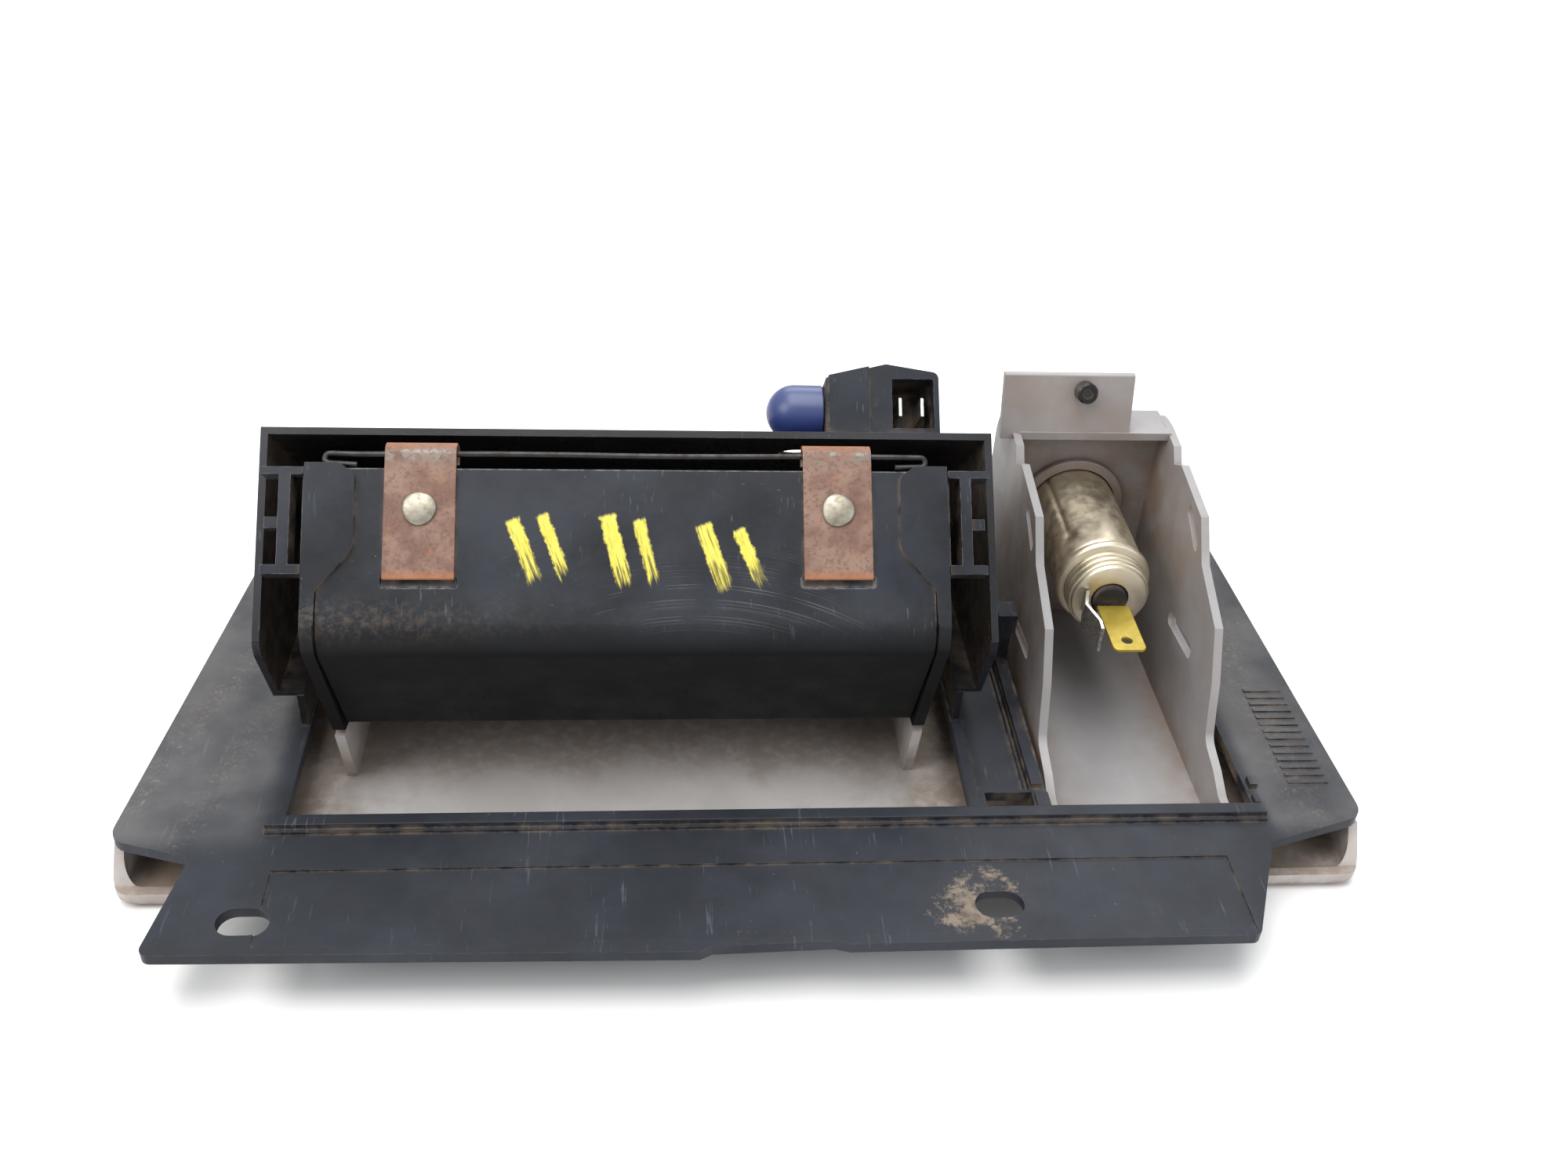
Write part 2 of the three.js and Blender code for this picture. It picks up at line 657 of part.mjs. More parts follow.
// Small dark peg pressed through the tab above the lighter.
const PEG_Z = 65.4;
const tabDisc = (profile) =>
  solid(
    turned(profile, 16)
      .rotateX(-TAB.lean)
      .translate(83.4, TAB.y + (PEG_Z - TAB.z[0]) * Math.tan(TAB.lean), PEG_Z),
  );
const bracketPeg = () =>
  tabDisc([
    [0, -2.8],
    [1.4, -2.8],
    [1.6, -3.6],
    [2.3, -3.6],
    [2.6, -3.2],
    [2.6, -GAP],
    [1.5, -GAP],
    [1.5, 2.8],
    [0, 2.8],
  ]);

// ---- lighter socket ----
const atSocket = (geometry) => solid(geometry.translate(SOCKET.x, 0, SOCKET.z));

function lighterSocket() {
  const { bore, outer, thread, rear, bead, front } = SOCKET;
  const rings = [];
  for (let k = 0; k < 3; k++) {
    const y = rear + 1 + k * 1.9;
    rings.push([thread - 0.5, y], [thread, y + 0.5], [thread, y + 0.9], [thread - 0.5, y + 1.4]);
  }
  const profile = [
    [4.6, rear],
    [thread - 1.4, rear],
    ...rings,
    [thread - 0.4, bead - 1.4],
    [outer + 0.5, bead - 0.2],
    [outer + 0.5, bead + 0.8],
    [outer, bead + 1.6],
    [outer, front - 2],
    [outer + 2.6, front - 1.9],
    [outer + 2.6, front],
    [bore, front],
    [bore, bead + 1],
    [thread - 1.3, bead - 0.6],
    [thread - 1.3, rear + 1],
    [4.6, rear + 1],
    [4.6, rear],
  ];
  return atSocket(turned(profile, 32));
}

const insulator = () =>
  atSocket(
    turned([
      [0, SOCKET.rear - 1.2],
      [4.1, SOCKET.rear - 1.2],
      [4.1, SOCKET.rear + 1.3],
      [6.5, SOCKET.rear + 1.3],
      [6.5, SOCKET.rear + 3],
      [0, SOCKET.rear + 3],
    ]),
  );

// Flat connector blade behind the socket, with a hole near its tip.
function centreBlade() {
  const y1 = SOCKET.rear - 1.5;
  const blade = slab(
    [
      [SOCKET.x - 3.3, y1],
      [SOCKET.x - 3.3, y1 - 17, 1.4],
      [SOCKET.x + 4.5, y1 - 17, 1.4],
      [SOCKET.x + 4.5, y1],
    ],
    SOCKET.z - 1.6,
    SOCKET.z - 0.8,
  );
  const hole = turned(cylinder(1.3, -3, 3), 16).rotateX(Math.PI / 2).translate(SOCKET.x + 0.6, y1 - 13.4, SOCKET.z);
  return cut(blade, solid(hole));
}

// Ground blade: stands on edge beside the insulator, kinked once.
function groundBlade() {
  const y1 = SOCKET.rear - GAP;
  return slab(
    [
      [SOCKET.x - 6.3, y1],
      [SOCKET.x - 7.9, y1 - 5.6],
      [SOCKET.x - 6.1, y1 - 12],
      [SOCKET.x - 6.3, y1 - 15],
      [SOCKET.x - 5.5, y1 - 15],
      [SOCKET.x - 5.3, y1 - 12],
      [SOCKET.x - 7.0, y1 - 5.6],
      [SOCKET.x - 5.4, y1],
    ],
    SOCKET.z - 3.8,
    SOCKET.z + 3,
  );
}

// Spring fingers that grip the plug's heating cup at the bottom of the socket.
function bimetalClip() {
  const y0 = SOCKET.rear + 3.3;
  const profile = [
    [0, y0],
    [5.6, y0],
    [6.3, y0 + 8],
    [5.9, y0 + 8],
    [5.2, y0 + 0.5],
    [0, y0 + 0.5],
  ];
  const cup = atSocket(turned(profile, 20));
  const slit = (turn) =>
    solid(new THREE.BoxGeometry(20, 12, 4).rotateY(turn).translate(SOCKET.x, y0 + 7, SOCKET.z));
  return cut(cup, slit(0), slit(Math.PI / 2));
}

// Plastic ring between the socket's lip and the bracket's end wall.
const collar = () =>
  atSocket(
    turned(
      [
        [SOCKET.outer + GAP, END_WALL_Y[1] - 3.9 - GAP],
        [SOCKET.outer + 2.6, END_WALL_Y[1] - 3.9 - GAP],
        [SOCKET.outer + 2.6, END_WALL_Y[0] - GAP],
        [SOCKET.outer + GAP, END_WALL_Y[0] - GAP],
        [SOCKET.outer + GAP, END_WALL_Y[1] - 3.9 - GAP],
      ],
      32,
    ),
  );

// ---- lighter plug ----
const PLUG = { sleeve: 10.1, shaft: 2, cup: 4.4, knobR: 9.2, knobEnd: 106.5, lip: 94.1 };

const plugSleeve = () =>
  atSocket(
    turned(
      [
        [PLUG.sleeve - 0.6, 62],
        [PLUG.sleeve, 62],
        [PLUG.sleeve, PLUG.lip],
        [PLUG.sleeve + 1.6, PLUG.lip],
        [PLUG.sleeve + 1.6, PLUG.lip + 0.7],
        [PLUG.sleeve - 0.6, PLUG.lip + 0.7],
        [PLUG.sleeve - 0.6, 74],
        [PLUG.shaft + 0.6, 74],
        [PLUG.shaft + 0.6, 73],
        [PLUG.sleeve - 0.6, 73],
        [PLUG.sleeve - 0.6, 62],
      ],
      28,
    ),
  );

const plugKnob = () =>
  atSocket(
    turned(
      [
        [0, 64.3],
        [PLUG.shaft, 64.3],
        [PLUG.shaft, 90],
        [PLUG.knobR - 0.6, 90],
        [PLUG.knobR - 0.6, 98.6],
        [PLUG.knobR, 99],
        [PLUG.knobR, PLUG.knobEnd - 2],
        [PLUG.knobR - 1.6, PLUG.knobEnd],
        [0, PLUG.knobEnd - 0.6],
      ],
      28,
    ),
  );

const heatingElement = () =>
  atSocket(
    turned(
      [
        [0, 62.4],
        [PLUG.cup - 0.8, 62.4],
        [PLUG.cup - 0.8, 60.2],
        [PLUG.cup, 60.2],
        [PLUG.cup, 64],
        [0, 64],
      ],
      24,
    ),
  );

// Coil spring between the sleeve's inner wall and the knob.
function plugSpring() {
  const turns = 4;
  const steps = 10;
  const [y0, y1] = [75.1, 89];
  const points = Array.from({ length: turns * steps + 1 }, (_, k) => {
    const angle = (2 * Math.PI * k) / steps;
    const y = y0 + ((y1 - y0) * k) / (turns * steps);
    return new THREE.Vector3(SOCKET.x + 5 * Math.cos(angle), y, SOCKET.z + 5 * Math.sin(angle));
  });
  return wireAlong(points, 0.5);
}

// ---- assembly ----
node("frame_plate", framePlate(), looks.slate);
node("hood", hood(), looks.black);
node("lamp_holder", lampHolder(), looks.black);
node("lamp_cap", lampCap(), looks.cap);
node("lamp_bulb", lampBulb(), looks.glass);
node("lamp_contact_near", lampContact(-1), looks.silver);
node("lamp_contact_far", lampContact(1), looks.silver);
["left", "middle", "right"].forEach((place, i) => {
  node("hinge_pin_" + place, rod(PIN_R, ...PIN_SPANS[i]), looks.silver);
});

node("front_panel", frontPanel(), looks.panel);
node("lighter_bracket", lighterBracket(), looks.panel);
node("bracket_peg", bracketPeg(), looks.black);
node("bucket_shell", bucketShell(), looks.bucket);
["left", "right"].forEach((place, i) => {
  node("end_plate_" + place, endPlate(i), looks.bucket);
  node("guide_block_" + place, guideBlock(i), looks.bucket);
  node("spring_clip_" + place, springClip(CLIPS[i]), looks.rust);
  node("rivet_" + place, rivet(CLIPS[i]), looks.zinc);
});
node("retaining_wire", retainingWire(), looks.wire);
node("snuffer_plate", snufferPlate(), looks.zinc);

node("lighter_socket", lighterSocket(), looks.lighter);
node("socket_collar", collar(), looks.insulator);
node("socket_insulator", insulator(), looks.insulator);
node("centre_blade", centreBlade(), looks.brass);
node("ground_blade", groundBlade(), looks.silver);
node("bimetal_clip", bimetalClip(), looks.brass);
node("plug_sleeve", plugSleeve(), looks.silver);
node("plug_knob", plugKnob(), looks.knob);
node("heating_element", heatingElement(), looks.element);
node("plug_spring", plugSpring(), looks.silver);

export default root;
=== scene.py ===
"""Looks of the dashboard ashtray and lighter unit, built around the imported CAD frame."""

import json
import math

import bmesh
import bpy
from mathutils import Matrix, Vector


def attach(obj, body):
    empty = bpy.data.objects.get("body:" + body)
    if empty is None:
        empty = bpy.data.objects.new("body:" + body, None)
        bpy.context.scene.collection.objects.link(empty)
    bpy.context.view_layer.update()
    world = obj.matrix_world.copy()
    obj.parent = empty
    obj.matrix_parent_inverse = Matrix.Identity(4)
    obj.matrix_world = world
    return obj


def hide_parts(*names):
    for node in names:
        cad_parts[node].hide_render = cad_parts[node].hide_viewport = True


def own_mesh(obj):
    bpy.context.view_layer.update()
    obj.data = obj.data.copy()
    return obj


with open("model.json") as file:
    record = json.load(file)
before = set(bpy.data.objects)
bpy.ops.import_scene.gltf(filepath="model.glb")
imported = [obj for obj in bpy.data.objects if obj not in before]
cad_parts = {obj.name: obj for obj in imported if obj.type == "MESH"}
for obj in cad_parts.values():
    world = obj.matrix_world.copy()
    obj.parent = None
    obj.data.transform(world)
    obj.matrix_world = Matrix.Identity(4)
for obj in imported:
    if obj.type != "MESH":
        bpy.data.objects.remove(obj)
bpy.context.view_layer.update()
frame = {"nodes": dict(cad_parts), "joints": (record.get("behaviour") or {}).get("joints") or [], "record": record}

MM = 0.001
SLOPE = math.sqrt(0.5)  # sine and cosine of the 45 degrees at which the bucket's back leans
record = frame["record"]
joints = {j["name"]: j for j in frame["joints"]}
HINGE = Vector(joints["flap_tilt"]["pos_m"])
BODY = {n: b for b, members in record["behaviour"]["bodies"].items() for n in members}
SLOT = {s["node"]: s["material_slot"] for s in record["subparts"]}


# ---------------------------------------------------------------- camera, light, floor

CAMERA_AT = Vector((-22.5, -276.9, 247.5)) * MM
HEADING, TILT, ROLL = 6.14, 36.07, 3.63  # degrees: right of +Y, below level, about the view
LENS = 34.0


def make_camera():
    data = bpy.data.cameras.new("camera")
    data.lens = LENS
    data.sensor_width = 36
    data.clip_start = 0.01
    camera = bpy.data.objects.new("camera", data)
    bpy.context.scene.collection.objects.link(camera)
    turn = Matrix.Rotation(math.radians(-HEADING), 4, "Z")
    tilt = Matrix.Rotation(math.radians(90 - TILT), 4, "X")
    roll = Matrix.Rotation(math.radians(ROLL), 4, "Z")
    camera.matrix_world = Matrix.Translation(CAMERA_AT) @ turn @ tilt @ roll
    bpy.context.scene.camera = camera


def area_light(name, at, aim, size, power, colour=(1, 1, 1)):
    data = bpy.data.lights.new(name, "AREA")
    data.shape = "RECTANGLE"
    data.size, data.size_y = size
    data.energy = power
    data.color = colour
    lamp = bpy.data.objects.new(name, data)
    bpy.context.scene.collection.objects.link(lamp)
    lamp.location = at
    lamp.rotation_euler = (Vector(aim) - Vector(at)).to_track_quat("-Z", "Y").to_euler()


def make_light():
    area_light("top", (-0.1, 0.0, 1.15), (0, 0, 0.03), (1.1, 0.8), 15, (1, 0.99, 0.97))
    area_light("key", (-0.75, -0.35, 0.7), (0, 0, 0.03), (0.6, 0.5), 5, (1, 0.985, 0.96))
    area_light("fill", (0.8, -0.6, 0.6), (0, 0, 0.03), (0.6, 0.6), 2.5, (0.96, 0.98, 1))
    area_light("back", (0.1, 0.9, 0.7), (0, 0, 0.05), (0.9, 0.4), 5)
    world = bpy.data.worlds.new("studio")
    world.use_nodes = True
    background = world.node_tree.nodes["Background"]
    background.inputs["Color"].default_value = (0.95, 0.97, 1, 1)
    background.inputs["Strength"].default_value = 0.62
    bpy.context.scene.world = world
    bpy.context.scene.view_settings.view_transform = "Standard"


def make_floor():
    bpy.ops.mesh.primitive_plane_add(size=8, location=(0, 0, -0.0002))
    floor = bpy.context.object
    floor.name = "floor"
    material = bpy.data.materials.new("floor")
    material.use_nodes = True
    shader = material.node_tree.nodes["Principled BSDF"]
    shader.inputs["Base Color"].default_value = (0.86, 0.86, 0.86, 1)
    shader.inputs["Roughness"].default_value = 0.8
    floor.data.materials.append(material)


# ---------------------------------------------------------------- material kit


class Shade:
    """A node material whose coordinates are millimetres in the row frame at rest."""

    def __init__(self, name, roughness=0.5, metallic=0.0, **sockets):
        self.material = bpy.data.materials.new(name)
        self.material.use_nodes = True
        self.tree = self.material.node_tree
        self.out = self.tree.nodes["Principled BSDF"]
        self.set("Roughness", roughness)
        self.set("Metallic", metallic)
        for key, value in sockets.items():
            self.set(key.replace("_", " "), value)
        coordinates = self.tree.nodes.new("ShaderNodeTexCoord")
        self.mm = self.vector("SCALE", coordinates.outputs["Object"], scale=1000)

    def set(self, socket, value):
        """Links a node's output, or sets a constant, on the shader's own socket."""
        target = self.out.inputs[socket]
        if isinstance(value, bpy.types.NodeSocket):
            self.tree.links.new(value, target)
        else:
            target.default_value = value

    def put(self, node, index, value):
        """Links a node's output, or sets a constant, on another node's input."""
        if isinstance(value, bpy.types.NodeSocket):
            self.tree.links.new(value, node.inputs[index])
        else:
            node.inputs[index].default_value = value

    def vector(self, operation, a, b=None, scale=None):
        node = self.tree.nodes.new("ShaderNodeVectorMath")
        node.operation = operation
        self.put(node, 0, a)
        if b is not None:
            self.put(node, 1, b)
        if scale is not None:
            node.inputs["Scale"].default_value = scale
        gives_number = operation in ("LENGTH", "DISTANCE")
        return node.outputs["Value" if gives_number else "Vector"]

    def math(self, operation, a, b=None, clamp=False):
        node = self.tree.nodes.new("ShaderNodeMath")
        node.operation = operation
        node.use_clamp = clamp
        self.put(node, 0, a)
        if b is not None:
            self.put(node, 1, b)
        return node.outputs[0]

    def split(self, vector=None):
        """The three parts of a vector, or of the place."""
        node = self.tree.nodes.new("ShaderNodeSeparateXYZ")
        self.put(node, 0, vector or self.mm)
        return node.outputs[0], node.outputs[1], node.outputs[2]

    def join(self, x, y, z):
        """Vector made of three values."""
        node = self.tree.nodes.new("ShaderNodeCombineXYZ")
        for index, value in enumerate((x, y, z)):
            self.put(node, index, value)
        return node.outputs[0]

    def noise(self, scale, detail=4, at=None, roughness=0.6, stretch=None):
        """Noise of about `scale` millimetres a feature."""
        place = at or self.mm
        if stretch:
            place = self.vector("MULTIPLY", place, stretch)
        node = self.tree.nodes.new("ShaderNodeTexNoise")
        self.put(node, "Vector", place)
        node.inputs["Scale"].default_value = 1 / scale
        node.inputs["Detail"].default_value = detail
        node.inputs["Roughness"].default_value = roughness
        return node.outputs["Fac"]

    def ramp(self, value, low, high, to_low=0.0, to_high=1.0):
        """Smooth change from `to_low` to `to_high` as the value goes from `low` to `high`."""
        node = self.tree.nodes.new("ShaderNodeMapRange")
        node.interpolation_type = "SMOOTHSTEP"
        self.put(node, "Value", value)
        node.inputs["From Min"].default_value = low
        node.inputs["From Max"].default_value = high
        node.inputs["To Min"].default_value = to_low
        node.inputs["To Max"].default_value = to_high
        return node.outputs["Result"]

    def mix(self, factor, a, b):
        node = self.tree.nodes.new("ShaderNodeMix")
        node.data_type = "RGBA"
        self.put(node, "Factor", factor)
        for index, value in ((6, a), (7, b)):
            if isinstance(value, bpy.types.NodeSocket):
                self.tree.links.new(value, node.inputs[index])
            else:
                node.inputs[index].default_value = (*value, 1)
        return node.outputs[2]

    def attribute(self, name):
        node = self.tree.nodes.new("ShaderNodeAttribute")
        node.attribute_name = name
        return node.outputs["Fac"]

    def times(self, product, *others):
        """Product of the values."""
        for value in others:
            product = self.math("MULTIPLY", product, value)
        return product

    def most(self, largest, *others):
        """Largest of the values."""
        for value in others:
            largest = self.math("MAXIMUM", largest, value)
        return largest

    def plus(self, a, b):
        return self.math("ADD", a, b)

    def minus(self, a, b):
        return self.math("SUBTRACT", a, b)

    def distance(self, value, centre):
        """How far the value lies from the centre, on either side."""
        return self.math("ABSOLUTE", self.minus(value, centre))

    def patches(self, scale, detail, low, high, to_low=0.0, to_high=1.0, roughness=0.6):
        """Noise spread out so that `low` becomes `to_low` and `high` becomes `to_high`."""
        return self.ramp(self.noise(scale, detail, roughness=roughness), low, high, to_low, to_high)

    def crevice(self, distance):
        """1 in a corner, 0 in the open; only what lies within `distance` mm counts."""
        node = self.tree.nodes.new("ShaderNodeAmbientOcclusion")
        node.samples = 6
        node.inputs["Distance"].default_value = distance * MM
        return self.math("SUBTRACT", 1.0, node.outputs["AO"], clamp=True)

    def facing(self, axis):
        """The surface normal's part along X, Y or Z, given as 0, 1 or 2."""
        node = self.tree.nodes.new("ShaderNodeTexCoord")
        return self.split(node.outputs["Normal"])[axis]

    def bump(self, height, depth):
        """Height in 0 to 1, depth in millimetres."""
        node = self.tree.nodes.new("ShaderNodeBump")
        node.inputs["Distance"].default_value = depth * MM
        node.inputs["Strength"].default_value = 1
        self.put(node, "Height", height)
        self.set("Normal", node.outputs["Normal"])

    def scratches(self):
        """Thin broken lines."""
        lines = self.noise(0.7, 2, stretch=(1, 0.05, 0.2))
        return self.times(self.ramp(lines, 0.62, 0.68), self.patches(14, 3, 0.5, 0.62))


DUST = (0.30, 0.22, 0.15)
PALE_DUST = (0.33, 0.265, 0.20)
SHADOWED_DUST = (0.16, 0.12, 0.085)


class Plastic(Shade):
    """Moulded plastic with mottling, scratches, dust in corners and worn edges."""

    def __init__(self, name, colour, lighter, dust, edge, reach=7, specular=0.32):
        """`dust` and `edge` are strengths of dirt and wear; dust settles within `reach` mm of a corner."""
        super().__init__(name, Specular_IOR_Level=specular)
        base = self.mix(self.patches(30, 5, 0.35, 0.68), colour, lighter)
        self.fine = self.noise(1.2, 4)
        self.scratch = self.scratches()
        base = self.mix(self.times(self.scratch, 0.35), base, [min(1, c * 3 + 0.04) for c in lighter])
        corners = self.times(self.ramp(self.crevice(reach), 0.18, 0.7), self.patches(5, 6, 0.35, 0.7))
        seams = self.times(self.ramp(self.crevice(1.2), 0.3, 0.75), self.patches(1.6, 5, 0.42, 0.62))
        specks = self.times(self.patches(0.9, 3, 0.69, 0.76), self.patches(16, 4, 0.5, 0.66))
        self.dirt = self.times(self.most(corners, self.times(seams, 0.8), specks), dust)
        base = self.mix(self.dirt, base, DUST)
        worn = self.times(self.attribute("edge"), self.patches(2.5, 5, 0.38, 0.62), edge)
        self.base = self.mix(worn, base, [c * 0.6 + 0.25 for c in lighter])

    def finish(self, roughness, grain):
        """Colour, roughness and relief; dirt and scratches are rougher than the bare plastic."""
        self.set("Base Color", self.base)
        rough = self.patches(12, 4, 0.3, 0.7, roughness - 0.07, roughness + 0.08)
        rough = self.plus(rough, self.times(self.dirt, 0.4))
        self.set("Roughness", self.math("ADD", rough, self.times(self.scratch, 0.15), clamp=True))
        self.bump(self.plus(self.fine, self.times(self.dirt, 1.5)), grain)
        return self.material


def slate_plastic():
    colour, lighter = (0.012, 0.0145, 0.020), (0.022, 0.026, 0.035)
    m = Plastic("slate_plastic", colour, lighter, dust=0.7, edge=0.45, specular=0.22)
    x, y, _ = m.split()
    flat = m.ramp(m.facing(2), 0.7, 0.95)
    # Caked dust round the right-hand slot, thinner and more broken further out.
    away = m.vector("DISTANCE", m.mm, (45, -71.5, 16.5))
    lumps = m.plus(m.times(m.noise(6, 4), 0.5), m.times(m.noise(1.1, 10, roughness=0.8), 0.5))
    caked = m.ramp(m.minus(lumps, m.ramp(away, 4, 17, 0.43, 0.66)), -0.01, 0.09)
    # Two long smears of pale dust on the left wing, and one on the right.
    wander = m.times(m.minus(m.noise(18, 3), 0.5), 12)
    left = m.plus(m.plus(x, m.times(y, -0.28)), wander)
    smears = m.most(
        m.ramp(m.distance(left, -108), 6, 0.5),
        m.ramp(m.distance(left, -123), 5, 0.5),
        m.ramp(m.distance(x, 124), 7, 0.5),
    )
    smears = m.times(smears, m.ramp(y, -60, -40), m.patches(0.9, 7, 0.5, 0.66, roughness=0.75))
    dusty = m.times(m.most(m.times(caked, 0.55), m.times(smears, 0.32)), flat)
    # A film over every flat top, thickest on the two wings.
    wings = m.most(m.ramp(x, -101, -109), m.ramp(x, 111, 117))
    wings = m.ramp(m.times(wings, m.ramp(y, -58, -46)), 0, 1, 0.2, 1.9)
    film = m.times(m.patches(35, 5, 0.35, 0.65, 0.06, 0.2), wings, flat)
    m.base = m.mix(film, m.base, (0.20, 0.19, 0.185))
    m.base = m.mix(dusty, m.base, m.mix(m.patches(2.2, 7, 0.36, 0.62), SHADOWED_DUST, PALE_DUST))
    m.dirt = m.most(m.dirt, dusty)
    return m.finish(0.47, 0.03)


HOOD_MIDDLE = -27.35  # X of the housing's middle


def hood_black():
    m = Plastic("hood_black", (0.008, 0.008, 0.010), (0.018, 0.019, 0.023), dust=0.55, edge=1.0, reach=9)
    # Brown powder on the inner faces of the side walls.
    x, _, _ = m.split()
    outward = m.math("SIGN", m.minus(x, HOOD_MIDDLE))
    inner = m.ramp(m.times(m.facing(0), outward), -0.4, -0.9)
    powder = m.times(inner, m.patches(4, 7, 0.35, 0.65, 0.3, 0.8))
    m.base = m.mix(powder, m.base, (0.12, 0.095, 0.075))
    return m.finish(0.32, 0.015)


def dab(m, x, u, start, end, width, wobble):
    """How far a point lies inside one brush dab, from 0 to 1."""
    (ax, au), (bx, bu) = start, end
    length = math.hypot(bx - ax, bu - au)
    dx, du = (bx - ax) / length, (bu - au) / length
    px = m.minus(x, ax)
    pu = m.minus(u, au)
    along = m.plus(m.times(px, dx), m.times(pu, du))
    off = m.minus(m.times(px, du), m.times(pu, dx))
    side = m.plus(m.distance(off, 0), wobble)
    inside = m.ramp(side, width / 2 + 0.2, width / 2 - 0.4)
    # The bristles start together and lift off one after another.
    bristle = m.noise(0.6, 3, at=m.join(off, ax, 0.0))
    start_in = m.ramp(m.plus(along, m.times(bristle, 1.2)), 0.0, 0.9)
    end_in = m.ramp(m.plus(along, m.times(bristle, 7)), length + 4.6, length + 2.6)
    # The paint thins in streaks along the stroke.
    streaks = m.noise(0.42, 3, at=m.join(off, m.times(along, 0.06), au))
    worn_off = m.ramp(along, length * 0.3, length, 0.0, 0.16)
    cover = m.ramp(m.minus(streaks, worn_off), 0.28, 0.46, 0.2, 1.0)
    return m.times(inside, start_in, end_in, cover)


# Plain brush dabs on the bucket's back: start and end as X and distance up the back plane, and width.
DABS = [
    ((-52.0, 65), (-47.5, 53), 3.2),
    ((-46.0, 66), (-41.5, 54), 2.6),
    ((-32.5, 66), (-29.0, 52), 3.4),
    ((-26.0, 65), (-23.0, 53), 2.6),
    ((-12.5, 64), (-8.0, 51), 3.6),
    ((-5.0, 63), (-0.5, 52), 2.8),
]
BEND_U = 42  # where the bucket's back bends under, as a distance up the back plane


def back_place(m):
    """X, and the distances up along the bucket's back plane and out of it, in millimetres."""
    x, y, z = m.split()
    y = m.minus(y, HINGE.y / MM)
    z = m.minus(z, HINGE.z / MM)
    u = m.times(m.plus(y, z), SLOPE)
    v = m.times(m.minus(z, y), SLOPE)
    return x, u, v


def bucket_grey():
    colour, lighter = (0.012, 0.0135, 0.017), (0.026, 0.029, 0.037)
    m = Plastic("bucket_grey", colour, lighter, dust=0.6, edge=0.4, specular=0.22)
    x, u, v = back_place(m)
    # Fine flat arcs left by wiping, on the lower half of the face.
    from_centre = m.vector("LENGTH", m.join(m.plus(x, 14), m.plus(u, 25), 0.0))
    rings = m.ramp(m.noise(0.35, 2, at=m.join(from_centre, 0.0, 0.0)), 0.52, 0.68)
    rings = m.times(rings, m.patches(14, 4, 0.40, 0.60), m.ramp(u, 39, 45), m.ramp(u, 64, 52))
    rings = m.times(rings, m.ramp(m.distance(x, -18), 48, 25))
    m.base = m.mix(m.times(rings, 0.35), m.base, (0.26, 0.245, 0.235))
    m.scratch = m.most(m.scratch, rings)
    # Brown dust gathers where the back bends under, most of it at the left.
    bend = m.ramp(m.distance(u, BEND_U), 9, 0)
    earth = m.times(bend, m.ramp(x, -35, -92, 0.12, 1.0), m.patches(1.6, 8, 0.42, 0.66, roughness=0.75))
    m.base = m.mix(m.times(earth, 0.45), m.base, (0.16, 0.115, 0.08))
    # Painted shade: the wall under the bend is painted near black, and is also rougher and duller.
    low = m.ramp(u, BEND_U + 5, BEND_U - 5)
    m.base = m.mix(low, m.base, (0.003, 0.0033, 0.004))
    # The painted shade below the bend joins the dust here for roughness and bumps only, not for colour.
    m.dirt = m.most(m.dirt, m.times(m.most(earth, low), 0.7))
    # Yellow paint, only on the outside of the back.
    wobble = m.times(m.minus(m.noise(1.3, 4), 0.5), 1.6)
    paint = m.most(*(dab(m, x, u, start, end, width, wobble) for start, end, width in DABS))
    paint = m.times(paint, m.ramp(v, 20, 24))
    m.base = m.mix(paint, m.base, m.mix(m.noise(2, 3), (0.54, 0.45, 0.035), (0.70, 0.62, 0.14)))
    m.fine = m.plus(m.fine, m.times(paint, 3))
    return m.finish(0.34, 0.02)


def soaked_borders(m):
    """Brown borders on flat faces, under the edges of the frame plate's main opening."""
    x, y, _ = m.split()
    aside = m.plus(m.distance(x, -27), m.times(m.noise(14, 5), 30))
    behind = m.plus(y, m.times(m.noise(20, 5), 24))
    soak = m.most(m.ramp(aside, 74, 90), m.times(m.ramp(behind, -12, 4), 0.8))
    return m.times(soak, m.patches(3, 7, 0.25, 0.6, 0.4, 0.85), m.ramp(m.facing(2), 0.3, 0.9))


def upright_grime_and_shade(m):
    """Brown grime and painted shade on upright faces, thicker towards the bracket's end wall."""
    _, y, _ = m.split()
    # Painted shade: upright faces are darkened brown by their direction, on top of the grime.
    upright = m.ramp(m.distance(m.facing(2), 0), 0.7, 0.3)
    grime_and_shade = m.times(m.patches(16, 6, 0.3, 0.68, 0.12, 0.5), m.ramp(y, -45, 45, 0.5, 1.1))
    return m.times(upright, grime_and_shade)


